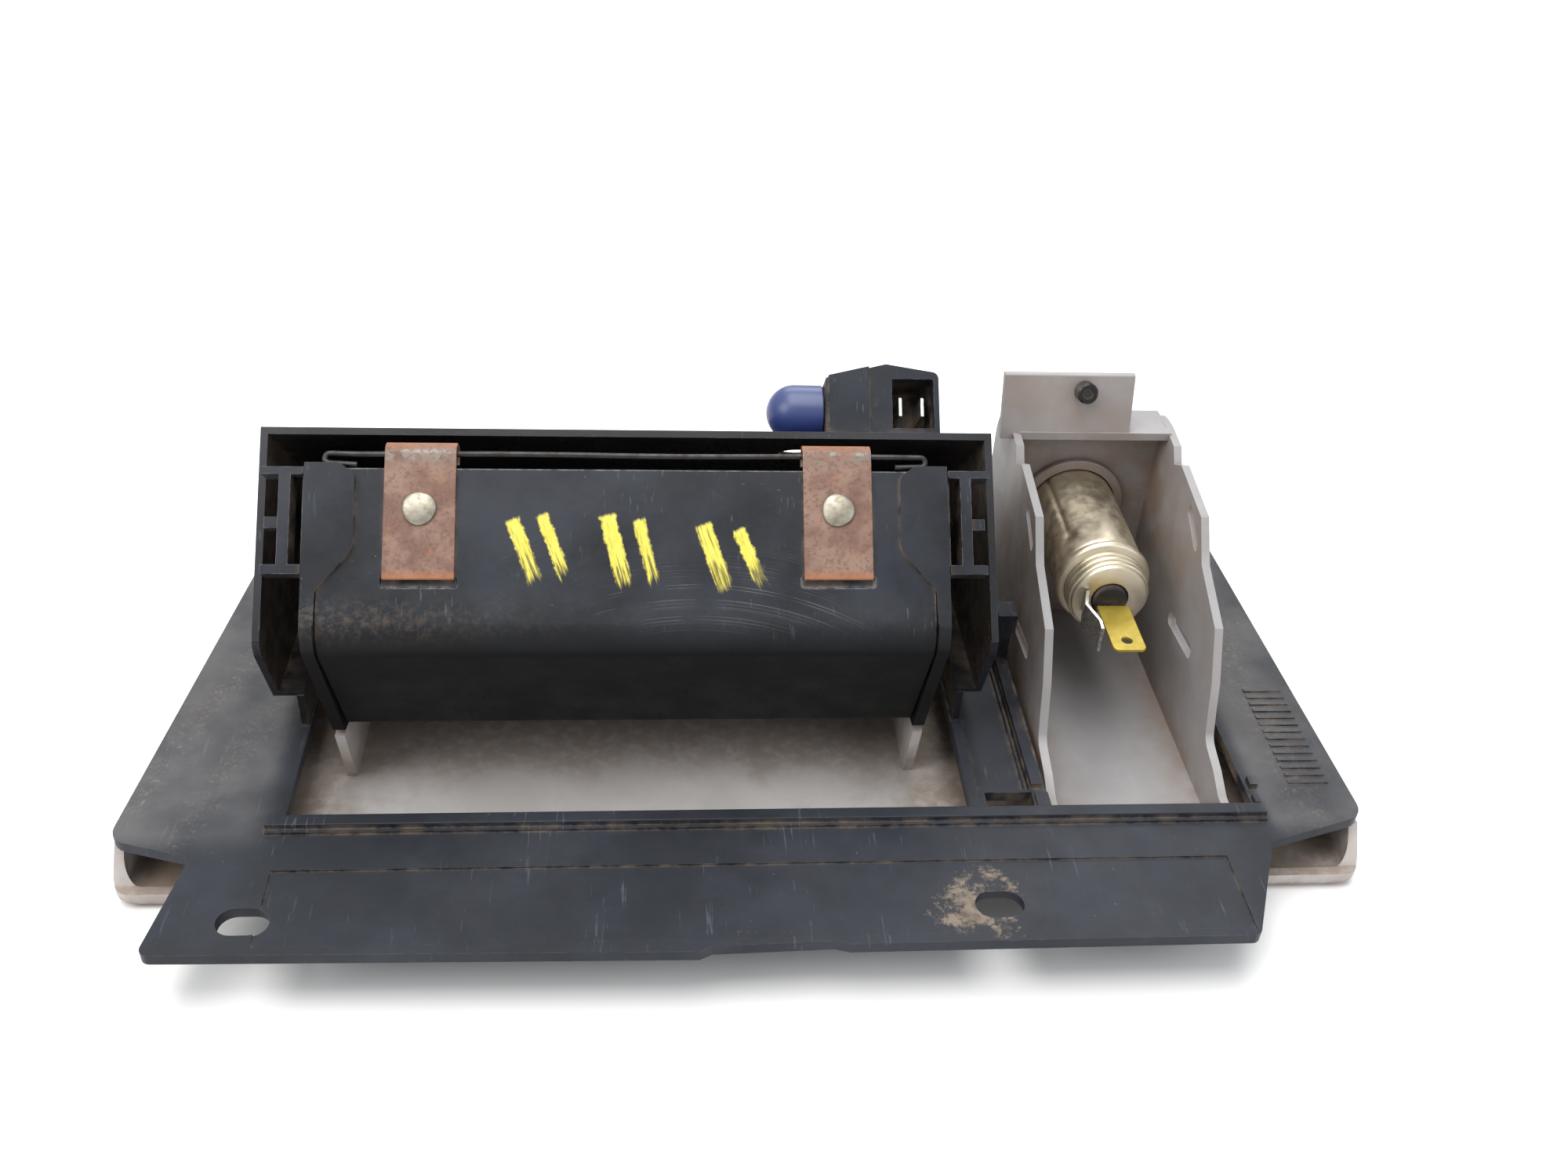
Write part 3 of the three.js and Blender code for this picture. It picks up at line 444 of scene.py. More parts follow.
def panel_grey(name, colour, lighter, stains_and_shade):
    """Pale plastic with brown dust and painted shade in its corners, smudges and specks, and one more mark of its
    own: stains on the panel, grime and painted shade on the bracket's walls.
    """
    m = Shade(name, Specular_IOR_Level=0.4)
    base = m.mix(m.patches(45, 5, 0.35, 0.65), colour, lighter)
    # Painted shade and brown dust: faces within 18 mm of a corner are darkened brown.
    corners = m.times(m.ramp(m.crevice(18), 0.1, 0.7), m.patches(9, 6, 0.3, 0.6, 0.25, 1.0))
    base = m.mix(m.times(m.most(corners, stains_and_shade(m)), 0.8), base, (0.185, 0.11, 0.062))
    smudge = m.times(m.patches(22, 5, 0.52, 0.7), 0.35)
    base = m.mix(smudge, base, (0.25, 0.205, 0.165))
    specks = m.times(m.patches(0.8, 3, 0.7, 0.76), m.patches(18, 3, 0.5, 0.65), 0.8)
    base = m.mix(specks, base, (0.14, 0.10, 0.07))
    base = m.mix(m.times(m.attribute("edge"), 0.5), base, (0.44, 0.42, 0.41))
    m.set("Base Color", base)
    m.set("Roughness", m.patches(15, 4, 0.3, 0.7, 0.48, 0.62))
    m.bump(m.noise(0.7, 4), 0.02)
    return m.material


def rusty_steel():
    m = Shade("clip_steel")
    _, u, _ = back_place(m)
    base = m.mix(m.patches(7, 6, 0.35, 0.65), (0.135, 0.068, 0.047), (0.215, 0.130, 0.095))
    pits = m.patches(0.9, 5, 0.5, 0.68)
    base = m.mix(m.times(pits, 0.6), base, (0.10, 0.05, 0.04))
    # Fresh orange rust in patches, along the top of the roll and along the lower edge.
    orange = m.most(m.patches(4, 5, 0.58, 0.72, roughness=0.7), m.ramp(u, 79, 82), m.ramp(u, 54.5, 53))
    base = m.mix(m.times(orange, 0.65), base, (0.30, 0.105, 0.035))
    # The roll's front is rubbed to bare metal, with freckles of it below.
    band = m.times(m.ramp(m.distance(u, 78.6), 2.3, 0.6), m.patches(2.2, 5, 0.38, 0.6))
    freckles = m.times(m.patches(1.4, 4, 0.62, 0.72), m.ramp(u, 60, 72), 0.5)
    bare = m.most(band, freckles)
    m.set("Base Color", m.mix(bare, base, (0.17, 0.148, 0.13)))
    m.set("Metallic", m.times(bare, 0.8))
    m.set("Roughness", m.ramp(bare, 0, 1, 0.68, 0.42))
    m.bump(m.minus(m.noise(0.8, 6), pits), 0.05)
    return m.material


def metal(name, colour, tarnish, roughness, spread=6, amount=0.6, bump=0.01, metallic=1.0):
    """Metal with rougher, tarnished patches `spread` mm wide, mixed in by `amount`."""
    m = Shade(name, metallic=metallic)
    patches = m.patches(spread, 6, 0.42, 0.7)
    base = m.mix(m.times(patches, amount), colour, tarnish)
    corners = m.times(m.ramp(m.crevice(2), 0.35, 0.85), 0.5)
    m.set("Base Color", m.mix(corners, base, [c * 0.3 for c in tarnish]))
    rough = m.patches(spread / 3, 5, 0.3, 0.7, roughness - 0.06, roughness + 0.1)
    m.set("Roughness", m.plus(rough, m.times(patches, 0.1)))
    m.bump(m.noise(0.6, 5), bump)
    return m.material


def lamp_blue():
    m = Shade("cap_blue", 0.35, Transmission_Weight=0.25, IOR=1.49)
    _, _, z = m.split()
    # Dusty all over, and paler towards the top.
    pale = m.most(m.times(m.patches(4, 6, 0.4, 0.7), 0.3), m.ramp(z, 72, 82, 0.1, 0.6))
    m.set("Base Color", m.mix(pale, (0.012, 0.035, 0.21), (0.09, 0.115, 0.20)))
    m.bump(m.noise(0.8, 4), 0.02)
    return m.material


def dark_plastic(name, colour, roughness):
    m = Plastic(name, colour, [c * 2 for c in colour], dust=0.5, edge=0.3, reach=4)
    return m.finish(roughness, 0.02)


def glass():
    m = Shade("bulb_glass", 0.05, Transmission_Weight=1.0, IOR=1.5)
    m.set("Base Color", m.mix(m.patches(2, 3, 0.4, 0.7), (0.92, 0.95, 1.0), (0.75, 0.78, 0.80)))
    return m.material


materials = {
    "slate_plastic": slate_plastic(),
    "hood_black": hood_black(),
    "bucket_grey": bucket_grey(),
    "panel_grey": panel_grey("panel_grey", (0.45, 0.425, 0.41), (0.55, 0.525, 0.51), soaked_borders),
    # The bracket's walls get painted shade as well as brown grime.
    "bracket_grey": panel_grey("bracket_grey", (0.26, 0.252, 0.255), (0.32, 0.315, 0.322), upright_grime_and_shade),
    "clip_steel": rusty_steel(),
    "rivet_zinc": metal("rivet_zinc", (0.36, 0.335, 0.275), (0.20, 0.17, 0.12), 0.45, 2, 0.7, 0.02),
    "wire_steel": metal("wire_steel", (0.055, 0.054, 0.055), (0.035, 0.026, 0.02), 0.42, 3),
    "pin_steel": metal("pin_steel", (0.42, 0.40, 0.36), (0.28, 0.17, 0.10), 0.42, 3),
    "lighter_metal": metal("lighter_metal", (0.66, 0.59, 0.455), (0.58, 0.51, 0.385), 0.38, 9, 0.3, 0.004),
    "blade_brass": metal("blade_brass", (0.40, 0.30, 0.045), (0.28, 0.21, 0.05), 0.38, 5, 0.5, 0.01, 0.6),
    "blade_silver": metal("blade_silver", (0.70, 0.69, 0.66), (0.45, 0.43, 0.38), 0.26, 4, 0.5),
    "insulator_black": dark_plastic("insulator_black", (0.012, 0.012, 0.014), 0.55),
    "knob_black": dark_plastic("knob_black", (0.014, 0.014, 0.016), 0.45),
    "element_metal": metal("element_metal", (0.20, 0.17, 0.14), (0.10, 0.07, 0.05), 0.55, 2),
    "cap_blue": lamp_blue(),
    "bulb_glass": glass(),
}


# ---------------------------------------------------------------- mesh kit


def new_object(name, mesh):
    piece = bpy.data.objects.new(name, mesh)
    bpy.context.scene.collection.objects.link(piece)
    return piece


def finished(name, work):
    """Object made of the bmesh, with its faces turned outwards."""
    bmesh.ops.recalc_face_normals(work, faces=work.faces)
    mesh = bpy.data.meshes.new(name)
    work.to_mesh(mesh)
    work.free()
    return new_object(name, mesh)


def loft(name, outlines):
    """Solid through outlines of the same number of points, closed at both ends."""
    work = bmesh.new()
    rings = [[work.verts.new(point) for point in outline] for outline in outlines]
    for a, b in zip(rings, rings[1:]):
        for k in range(len(a)):
            n = (k + 1) % len(a)
            work.faces.new([a[k], a[n], b[n], b[k]])
    work.faces.new(rings[0])
    work.faces.new(rings[-1])
    return finished(name, work)


def place(piece, node, material=None):
    """Gives the piece its material, and puts it in the place of its CAD node."""
    piece.data.materials.clear()
    piece.data.materials.append(materials[material or SLOT[node]])
    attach(piece, BODY[node])
    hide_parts(node)


def apply_modifiers(piece):
    graph = bpy.context.evaluated_depsgraph_get()
    graph.update()
    mesh = bpy.data.meshes.new_from_object(piece.evaluated_get(graph))
    piece.modifiers.clear()
    piece.data = mesh


def shade(piece, angle=38):
    mesh = piece.data
    mesh.polygons.foreach_set("use_smooth", [True] * len(mesh.polygons))
    mesh.set_sharp_from_angle(angle=math.radians(angle))


def soften(piece, width, angle=32):
    """Rounds the edges, marks the rounded faces with the attribute edge, and smooths the shading."""
    bevel = piece.modifiers.new("bevel", "BEVEL")
    bevel.width = width * MM
    bevel.segments = 2
    bevel.limit_method = "ANGLE"
    bevel.angle_limit = math.radians(angle)
    bevel.use_clamp_overlap = True
    bevel.miter_outer = "MITER_ARC"
    piece.data.materials.clear()
    # Two stand-in materials tell the rounded faces from the rest.
    for name in ("face", "edge"):
        piece.data.materials.append(bpy.data.materials.get(name) or bpy.data.materials.new(name))
    bevel.material = 1
    apply_modifiers(piece)
    mesh = piece.data
    worn = [0.0] * len(mesh.loops)
    for polygon in mesh.polygons:
        if polygon.material_index == 1:
            for loop in polygon.loop_indices:
                worn[loop] = 1.0
        polygon.material_index = 0
    mesh.attributes.new("edge", "FLOAT", "CORNER").data.foreach_set("value", worn)
    shade(piece)
    piece.modifiers.new("weights", "WEIGHTED_NORMAL").keep_sharp = True
    apply_modifiers(piece)


FLAT = math.radians(1)  # faces whose directions differ by less are in one plane
JOIN = 0.004 * MM  # points closer than this are one point
MOST_SEAMS = 12


def flat_regions(work):
    """Groups of faces that lie in one plane; a seam ends a group."""
    seen = set()
    regions = []
    for start in work.faces:
        if start in seen:
            continue
        seen.add(start)
        region, waiting = [], [start]
        while waiting:
            face = waiting.pop()
            region.append(face)
            for edge in face.edges:
                if edge.seam:
                    continue
                for other in edge.link_faces:
                    if other not in seen and other.normal.angle(start.normal, math.pi) < FLAT:
                        seen.add(other)
                        waiting.append(other)
        regions.append(region)
    return regions


def rims(region):
    """The size and middle of each separate boundary of the region, the largest first."""
    inside = set(region)
    edges = [e for f in region for e in f.edges]
    boundary = [e for e in edges if e.seam or sum(f in inside for f in e.link_faces) == 1]
    group = {v: {v} for e in boundary for v in e.verts}
    for edge in boundary:
        a, b = group[edge.verts[0]], group[edge.verts[1]]
        if a is not b:
            a |= b
            for v in b:
                group[v] = a
    found = {id(g): g for g in group.values()}.values()

    def extent(vertices):
        low = Vector([min(v.co[i] for v in vertices) for i in range(3)])
        high = Vector([max(v.co[i] for v in vertices) for i in range(3)])
        return (high - low).length, (low + high) / 2

    return sorted((extent(g) for g in found), key=lambda item: -item[0])


def open_holes(work):
    """Runs a seam through each hole in a flat region, so that no face has to surround a hole."""
    for _ in range(MOST_SEAMS):
        whole = True
        for region in flat_regions(work):
            if any(not f.is_valid for f in region):
                continue
            loops = rims(region)
            if len(loops) < 2:
                continue
            whole = False
            across = Vector((1, 0, 0)) if abs(region[0].normal.x) < 0.7 else Vector((0, 1, 0))
            edges = dict.fromkeys(e for f in region for e in f.edges)
            points = dict.fromkeys(v for f in region for v in f.verts)
            geometry = [*region, *edges, *points]
            _, hole_middle = loops[1]
            cut = bmesh.ops.bisect_plane(
                work, geom=geometry, dist=1e-7, plane_co=hole_middle, plane_no=across
            )
            for part in cut["geom_cut"]:
                if isinstance(part, bmesh.types.BMEdge):
                    part.seam = True
        if whole:
            return


def cad_copy(node, name):
    """The CAD node's mesh with its doubled points joined and its flat faces whole."""
    mesh = bpy.data.meshes.new(name)
    work = bmesh.new()
    work.from_mesh(frame["nodes"][node].data)
    bmesh.ops.remove_doubles(work, verts=work.verts, dist=JOIN)
    bmesh.ops.dissolve_degenerate(work, dist=JOIN, edges=work.edges)
    bmesh.ops.recalc_face_normals(work, faces=work.faces)
    work.normal_update()
    open_holes(work)
    for region in flat_regions(work):
        if len(region) > 1 and len(rims(region)) == 1:
            bmesh.ops.dissolve_faces(work, faces=region)
    straight = []
    for v in work.verts:
        if len(v.link_edges) == 2:
            a, b = (e.other_vert(v).co - v.co for e in v.link_edges)
            if a.angle(b, 0) > math.pi - FLAT:
                straight.append(v)
    bmesh.ops.dissolve_verts(work, verts=straight)
    work.to_mesh(mesh)
    work.free()
    return new_object(name, mesh)


def softened(node, width, material=None):
    """The CAD node's own shape with its edges rounded to `width` mm."""
    piece = cad_copy(node, node + "_moulding")
    soften(piece, width)
    place(piece, node, material)


def turned(name, profile, centre, axis, segments=96, warp=None):
    """Turned mesh, from a profile of (radius, distance along the axis) in millimetres.

    The profile is closed, or ends on the axis at both ends. `warp` gives a change of radius.
    """
    axis = Vector(axis).normalized()
    helper = Vector((1, 0, 0)) if abs(axis.x) < 0.9 else Vector((0, 0, 1))
    right = axis.cross(helper).normalized()
    up = right.cross(axis).normalized()
    work = bmesh.new()
    rings = []
    for r, d in profile:
        on_axis = r < 1e-6
        if on_axis:
            rings.append([work.verts.new(Vector(centre) + axis * d * MM)])
            continue
        ring = []
        for k in range(segments):
            angle = 2 * math.pi * k / segments
            radius = r + (warp(r, d, angle) if warp else 0)
            out = right * math.cos(angle) + up * math.sin(angle)
            ring.append(work.verts.new(Vector(centre) + (axis * d + out * radius) * MM))
        rings.append(ring)
    for a, b in zip(rings, rings[1:]):
        for k in range(segments):
            n = (k + 1) % segments
            corners = [a[k % len(a)], b[k % len(b)], b[n % len(b)], a[n % len(a)]]
            unique = list(dict.fromkeys(corners))
            if len(unique) > 2:
                work.faces.new(unique)
    bmesh.ops.remove_doubles(work, verts=work.verts, dist=0.001 * MM)
    piece = finished(name, work)
    shade(piece, 34)
    return piece


def swept(name, points, radius, sides=16):
    """Round wire of a radius in millimetres, through points in metres."""
    curve = bpy.data.curves.new(name, "CURVE")
    curve.dimensions = "3D"
    curve.bevel_depth = radius * MM
    curve.bevel_resolution = sides // 4
    curve.use_fill_caps = True
    spline = curve.splines.new("POLY")
    spline.points.add(len(points) - 1)
    for point, at in zip(spline.points, points):
        point.co = (*at, 1)
    source = new_object(name + "_curve", curve)
    graph = bpy.context.evaluated_depsgraph_get()
    graph.update()
    mesh = bpy.data.meshes.new_from_object(source.evaluated_get(graph))
    bpy.data.objects.remove(source)
    piece = new_object(name, mesh)
    shade(piece, 40)
    return piece


def arc(centre, radius, start, end, steps):
    """Points of an arc about a 2D centre, angles in degrees."""
    angles = [math.radians(start + (end - start) * k / steps) for k in range(steps + 1)]
    x, y = centre
    return [(x + radius * math.cos(a), y + radius * math.sin(a)) for a in angles]


def dome(radius, tip, step):
    """Quarter circle from a tip on the axis out to the full radius, as profile points."""
    angles = [math.radians(degrees) for degrees in range(0, 91, step)]
    return [(radius * math.sin(a), tip + radius * (1 - math.cos(a))) for a in angles]


make_camera()
make_light()
make_floor()


# ---------------------------------------------------------------- moulded pieces

# Pieces that keep the CAD's shape, and how far their edges are rounded.
MOULDED = {
    "frame_plate": 0.35,
    "hood": 0.45,
    "lamp_holder": 0.45,
    "lighter_bracket": 0.5,
    "bucket_shell": 0.35,
    "end_plate_left": 0.3,
    "end_plate_right": 0.3,
    "guide_block_left": 0.25,
    "guide_block_right": 0.25,
    "snuffer_plate": 0.12,
    "lamp_contact_near": 0.12,
    "lamp_contact_far": 0.12,
    "centre_blade": 0.15,
    "ground_blade": 0.12,
    "bimetal_clip": 0.08,
}
# Pieces whose finish differs from the rest of their material slot.
OWN_FINISH = {"lamp_holder": "slate_plastic", "lighter_bracket": "bracket_grey"}
COLLAR_FINISH = "bracket_grey"
for node, width in MOULDED.items():
    softened(node, width, OWN_FINISH.get(node))


# ---------------------------------------------------------------- front panel

# All piece dimensions below are millimetres from the tilt hinge's axis: X along the unit,
# Y towards the panel's free edge, Z away from the front face.
FACE_Z = -9.3
FLOOR_Z = -6.8
RIM_TOP = 3.2
PIN_R = 1.5
PANEL_X = (-137.4, 137.0)
PANEL_Y = (-10.8, 125.0)
FAR_INSET = (12.5, 4.0)  # how much the panel narrows towards its free edge, at the left and at the right
PANEL_RIM = 2.2
PANEL_ROUND = 2.6
NEAR_RIM_TOP = -4.9


def at(x, y, z):
    return HINGE + Vector((x, y, z)) * MM


def on_back(x, u, v):
    """Place by X, distance up the bucket's back plane and distance out of it."""
    return at(x, (u - v) * SLOPE, (u + v) * SLOPE)


def rounded_outline(corners, steps):
    """Corners (x, y, radius), counter-clockwise, each turned into an arc of the same number of points."""
    points = []
    for i, (x, y, radius) in enumerate(corners):
        here = Vector((x, y))
        back = (Vector(corners[i - 1][:2]) - here).normalized()
        ahead = (Vector(corners[(i + 1) % len(corners)][:2]) - here).normalized()
        half = back.angle(ahead) / 2
        centre = here + (back + ahead).normalized() * radius / math.sin(half)
        first = here + back * radius / math.tan(half) - centre
        last = here + ahead * radius / math.tan(half) - centre
        turn = -first.angle_signed(last)
        for k in range(steps + 1):
            angle = turn * k / steps
            c, s = math.cos(angle), math.sin(angle)
            points.append(centre + Vector((first.x * c - first.y * s, first.x * s + first.y * c)))
    return points


def panel_outline(inset):
    (x0, x1), (y0, y1) = PANEL_X, PANEL_Y
    left, right = FAR_INSET
    return rounded_outline(
        [
            (x0 + inset, y0 + inset, 4),
            (x1 - inset, y0 + inset, 4),
            (x1 - right - inset, y1 - inset, 5),
            (x0 + left + inset, y1 - inset, 5),
        ],
        8,
    )


def prism(name, corners, x0, x1):
    """Solid with an outline in Y and Z, between two X positions."""
    return loft(name, [[at(x, y, z) for y, z in corners] for x in (x0, x1)])


def combine(piece, tool, operation):
    step = piece.modifiers.new("combine", "BOOLEAN")
    step.object = tool
    step.operation = operation
    step.solver = "EXACT"
    apply_modifiers(piece)
    bpy.data.objects.remove(tool)


def front_panel():
    """Shallow tray whose outer edge rolls off towards the front face."""
    rings = []
    for step in range(7):
        angle = math.radians(90 * step / 6)
        rings.append((PANEL_ROUND * (1 - math.sin(angle)), FACE_Z + PANEL_ROUND * (1 - math.cos(angle))))
    rings += [(0.0, RIM_TOP), (PANEL_RIM, RIM_TOP)]
    rings += [(PANEL_RIM + 0.1, FLOOR_Z + 0.8), (PANEL_RIM + 0.35, FLOOR_Z + 0.2), (PANEL_RIM + 0.9, FLOOR_Z)]
    piece = loft("front_panel_tray", [[at(p.x, p.y, z) for p in panel_outline(inset)] for inset, z in rings])
    # The near end of the rim is lower, and leaves room for the frame plate as the panel tilts.
    near = PANEL_Y[0] + PANEL_RIM + 0.5
    sweep = [(-20, NEAR_RIM_TOP), (near, NEAR_RIM_TOP), (-2.6, RIM_TOP + 0.2), (-2.6, 10), (-20, 10)]
    combine(piece, prism("sweep", sweep, -150, 150), "DIFFERENCE")
    # A web holds the bucket on each side; the knuckle turns on the left hinge pin.
    web = [(27, FLOOR_Z - 0.4), (21.8, 10.2), (25, 10.2), (76, 0), (76, FLOOR_Z - 0.4)]
    for x0 in (-94.3, 37.1):
        combine(piece, prism("web", web, x0, x0 + 2.2), "UNION")
    knuckle = [(6, FLOOR_Z - 0.5), *arc((0, 0), 4.0, 0, 180, 16), (-3.4, FLOOR_Z - 0.5)]
    combine(piece, prism("knuckle", knuckle, -104.3, -101.6), "UNION")
    bore = prism("bore", arc((0, 0), PIN_R + 0.2, 0, 348.75, 31), -106, -100)
    combine(piece, bore, "DIFFERENCE")
    soften(piece, 0.4)
    place(piece, "front_panel")


front_panel()


# ---------------------------------------------------------------- hinge pins

PINS = {"left": (-107.9, -99.6), "middle": (62.0, 69.0), "right": (106.0, 115.3)}
for side, (x0, x1) in PINS.items():
    tip = PIN_R - 0.3
    profile = [(0, x0), (tip, x0), (PIN_R, x0 + 0.3), (PIN_R, x1 - 0.3), (tip, x1), (0, x1)]
    place(turned("pin_" + side, profile, HINGE, (1, 0, 0), 32), "hinge_pin_" + side)


# ---------------------------------------------------------------- clips, rivets and wire

SHELL_V = 27.9
CLIP_V = SHELL_V + 0.3
CLIP = {"left": -71.0, "right": 15.9}
CLIP_WIDTH = 14.6
CLIP_THICK = 0.6
CLIP_LOW = 52.4
ROLL_R = 3.0
ROLL_U = 78.8
ROLL_V = CLIP_V + CLIP_THICK - ROLL_R
RIVET_U = 67.2


def clip_section(wander):
    """Outline of the strip in u and v: up the back wall, then rolled forwards over the wire."""
    face = CLIP_V + CLIP_THICK
    heights = (57, 62, 67, 72)
    outer = [(CLIP_LOW, CLIP_V + CLIP_THICK * 0.6), (CLIP_LOW + 0.2, face)] + [(u, face) for u in heights]
    inner = [(u, CLIP_V) for u in reversed(heights)] + [(CLIP_LOW, CLIP_V)]
    steps = 28
    angles = [math.radians((205 + wander) * k / steps) for k in range(steps + 1)]

    def roll(radius):
        return [(ROLL_U + radius * math.sin(a), ROLL_V + radius * math.cos(a)) for a in angles]

    return outer + roll(ROLL_R) + roll(ROLL_R - CLIP_THICK)[::-1] + inner


def spring_clip(side):
    """Strip bowed a little across its width, with an uneven end to its roll."""
    slices = 12
    outlines = []
    for k in range(slices + 1):
        across = -CLIP_WIDTH / 2 + CLIP_WIDTH * k / slices
        bow = 0.12 * math.cos(math.pi * across / CLIP_WIDTH)
        section = clip_section(5 * math.sin(across * 0.4))
        x = CLIP[side] + across
        outlines.append([on_back(x, u, v + (bow if 56 < u < 73 else 0)) for u, v in section])
    piece = loft("strip_" + side, outlines)
    soften(piece, 0.12, angle=40)
    place(piece, "spring_clip_" + side)


def rivet(side):
    """Domed head on a shank that goes through the clip, the shell and the stubbing plate."""
    radius, shank, foot = 3.5, 1.6, 2.6
    face = CLIP_V + CLIP_THICK + 0.1
    back = SHELL_V - 1.4 - 0.7 - 0.5
    angles = [math.radians(degrees) for degrees in range(0, 91, 9)]
    head = [(radius * math.cos(a), face + 0.35 + 0.9 * math.sin(a)) for a in angles]
    profile = [(0, back - 0.7), (foot - 0.2, back - 0.7), (foot, back - 0.5), (foot, back)]
    profile += [(shank, back), (shank, face), (radius - 0.2, face)]

    def hammered(r, d, angle):
        return 0.1 * math.sin(3 * angle + CLIP[side]) * r / radius if d > face else 0

    centre = on_back(CLIP[side], RIVET_U, 0)
    axis = (0, -SLOPE, SLOPE)
    place(turned("rivet_head_" + side, profile + head, centre, axis, 48, hammered), "rivet_" + side)


for side in CLIP:
    spring_clip(side)
    rivet(side)

WIRE_R = 0.6
WIRE_U = 79.0
WIRE_X = (-89.6, 34.0)
WIRE_V = ROLL_V + ROLL_R - CLIP_THICK - WIRE_R - 0.15
HOOK = 1.0
TAIL = 5.5  # how far each hook comes back along the wire


def retaining_wire():
    """Wire through both rolls, bent a little between them and hooked back under itself at each end."""
    x0, x1 = WIRE_X
    low = WIRE_U - 2 * HOOK - 0.2
    left = arc((x0, WIRE_U - HOOK), HOOK, 270, 90, 16)
    right = arc((x1, WIRE_U - HOOK), HOOK, 90, -90, 16)
    span = [(x0 + (x1 - x0) * k / 24, WIRE_U) for k in range(1, 24)]
    path = [(x0 + TAIL, low), *left, *span, *right, (x1 - TAIL, low)]

    def sway(x):
        return 0.12 * math.sin(x * 0.09) if abs(x + 28) < 58 else 0

    points = [on_back(x, u + sway(x), WIRE_V) for x, u in path]
    place(swept("wire", points, WIRE_R), "retaining_wire")


retaining_wire()


# ---------------------------------------------------------------- lamp

LAMP_X = (3.5, 16.5)
LAMP_R = 6.6
LAMP_AXIS = 8.4
HOOD_TOP = 126.2
LAMP_Y = 66.5
LAMP_CENTRE = at(0, LAMP_Y + LAMP_AXIS * SLOPE, HOOD_TOP - LAMP_Y + LAMP_AXIS * SLOPE)


def lamp_cap():
    """Thin coloured cap with a domed end, a little out of round."""
    x0, x1 = LAMP_X
    inner_r = LAMP_R - 1
    edge = [(LAMP_R, x1 - 0.2), (LAMP_R - 0.2, x1), (inner_r, x1)]
    profile = dome(LAMP_R, x0, 6) + edge + dome(inner_r, x0 + 1, 6)[::-1]

    def sag(r, d, angle):
        return 0.05 * math.sin(2 * angle + d * 0.5) * (r / LAMP_R)

    place(turned("cap", profile, LAMP_CENTRE, (1, 0, 0), 64, sag), "lamp_cap")


def lamp_bulb():
    base = LAMP_X[1]
    neck = [(2.6, base - 5), (2.4, base - 2), (2.4, base - 0.3), (0, base - 0.3)]
    place(turned("bulb", dome(2.5, base - 9, 10) + neck, LAMP_CENTRE, (1, 0, 0), 40), "lamp_bulb")


lamp_cap()
lamp_bulb()


# ---------------------------------------------------------------- lighter socket and plug

SOCKET_X = 86.2
SOCKET_Z = 30.5
SOCKET_REAR = 46.0
SOCKET_BEAD = 53.0
SOCKET_FRONT = 93.5
SOCKET_R = 11.0
THREAD_R = 9.9
BORE_R = 10.5
SOCKET_AT = at(SOCKET_X, 0, SOCKET_Z)
GROOVE_ANGLE = math.radians(225)  # of the lengthwise groove pressed into the can
DIMPLE = 61.5  # where the groove ends


def bump_ring(r, height, d0, d1, steps=8):
    """Half-round ring standing out of a tube, as profile points."""
    points = []
    for k in range(steps + 1):
        angle = math.pi * k / steps
        points.append((r + height * math.sin(angle), d0 + (d1 - d0) * (1 - math.cos(angle)) / 2))
    return points


def socket_dents(r, d, angle):
    """A pressed groove with a dimple at its end, and a slight waviness of drawn metal."""
    off = math.atan2(math.sin(angle - GROOVE_ANGLE), math.cos(angle - GROOVE_ANGLE)) * r
    change = 0.008 * math.sin(2 * angle + d * 0.15)
    if SOCKET_BEAD + 3 < d < SOCKET_FRONT - 6 and r > BORE_R + 0.2:
        change -= 0.55 * math.exp(-((off / 0.6) ** 2)) * max(0, min(1, (d - 62) / 6))
        change -= 0.6 * math.exp(-(off**2 + (d - DIMPLE) ** 2) / 2.5)
    return change


def lighter_socket():
    """Drawn can: a narrow end with a rolled thread, a bead, a long body and a flange at its mouth."""
    rear, front, bead = SOCKET_REAR, SOCKET_FRONT, SOCKET_BEAD
    hole, flange = 4.6, SOCKET_R + 2.6
    profile = [(hole, rear), (THREAD_R - 1.5, rear)]
    profile += [(THREAD_R - 0.9, rear + 0.15), (THREAD_R - 0.6, rear + 0.6)]
    for turn in range(3):
        start = rear + 0.9 + 1.9 * turn
        profile += bump_ring(THREAD_R - 0.55, 0.55, start, start + 1.5)
    profile += [(THREAD_R - 0.45, bead - 1.3)]
    profile += bump_ring(SOCKET_R - 0.35, 0.95, bead - 0.9, bead + 1.6)
    body_start, body_end, slices = bead + 2.2, front - 3.5, 47
    profile += [(SOCKET_R, body_start + (body_end - body_start) * k / slices) for k in range(slices + 1)]
    profile += [(SOCKET_R + 0.3, front - 2.4), (flange - 0.3, front - 1.9), (flange, front - 1.6)]
    profile += [(flange, front - 0.3), (flange - 0.3, front), (BORE_R + 0.3, front), (BORE_R, front - 0.3)]
    profile += [(BORE_R, bead + 1), (THREAD_R - 1.3, bead - 0.6), (THREAD_R - 1.3, rear + 1)]
    profile += [(hole, rear + 1), (hole, rear)]
    place(turned("socket_can", profile, SOCKET_AT, (0, 1, 0), 192, socket_dents), "lighter_socket")


def socket_insulator():
    d = SOCKET_REAR
    small, large = 4.1, 6.5
    profile = [(0, d - 1.2), (small - 0.3, d - 1.2), (small, d - 0.9), (small, d + 1.3)]
    profile += [(large, d + 1.3), (large, d + 3), (0, d + 3)]
    place(turned("insulator", profile, SOCKET_AT, (0, 1, 0), 64), "socket_insulator")


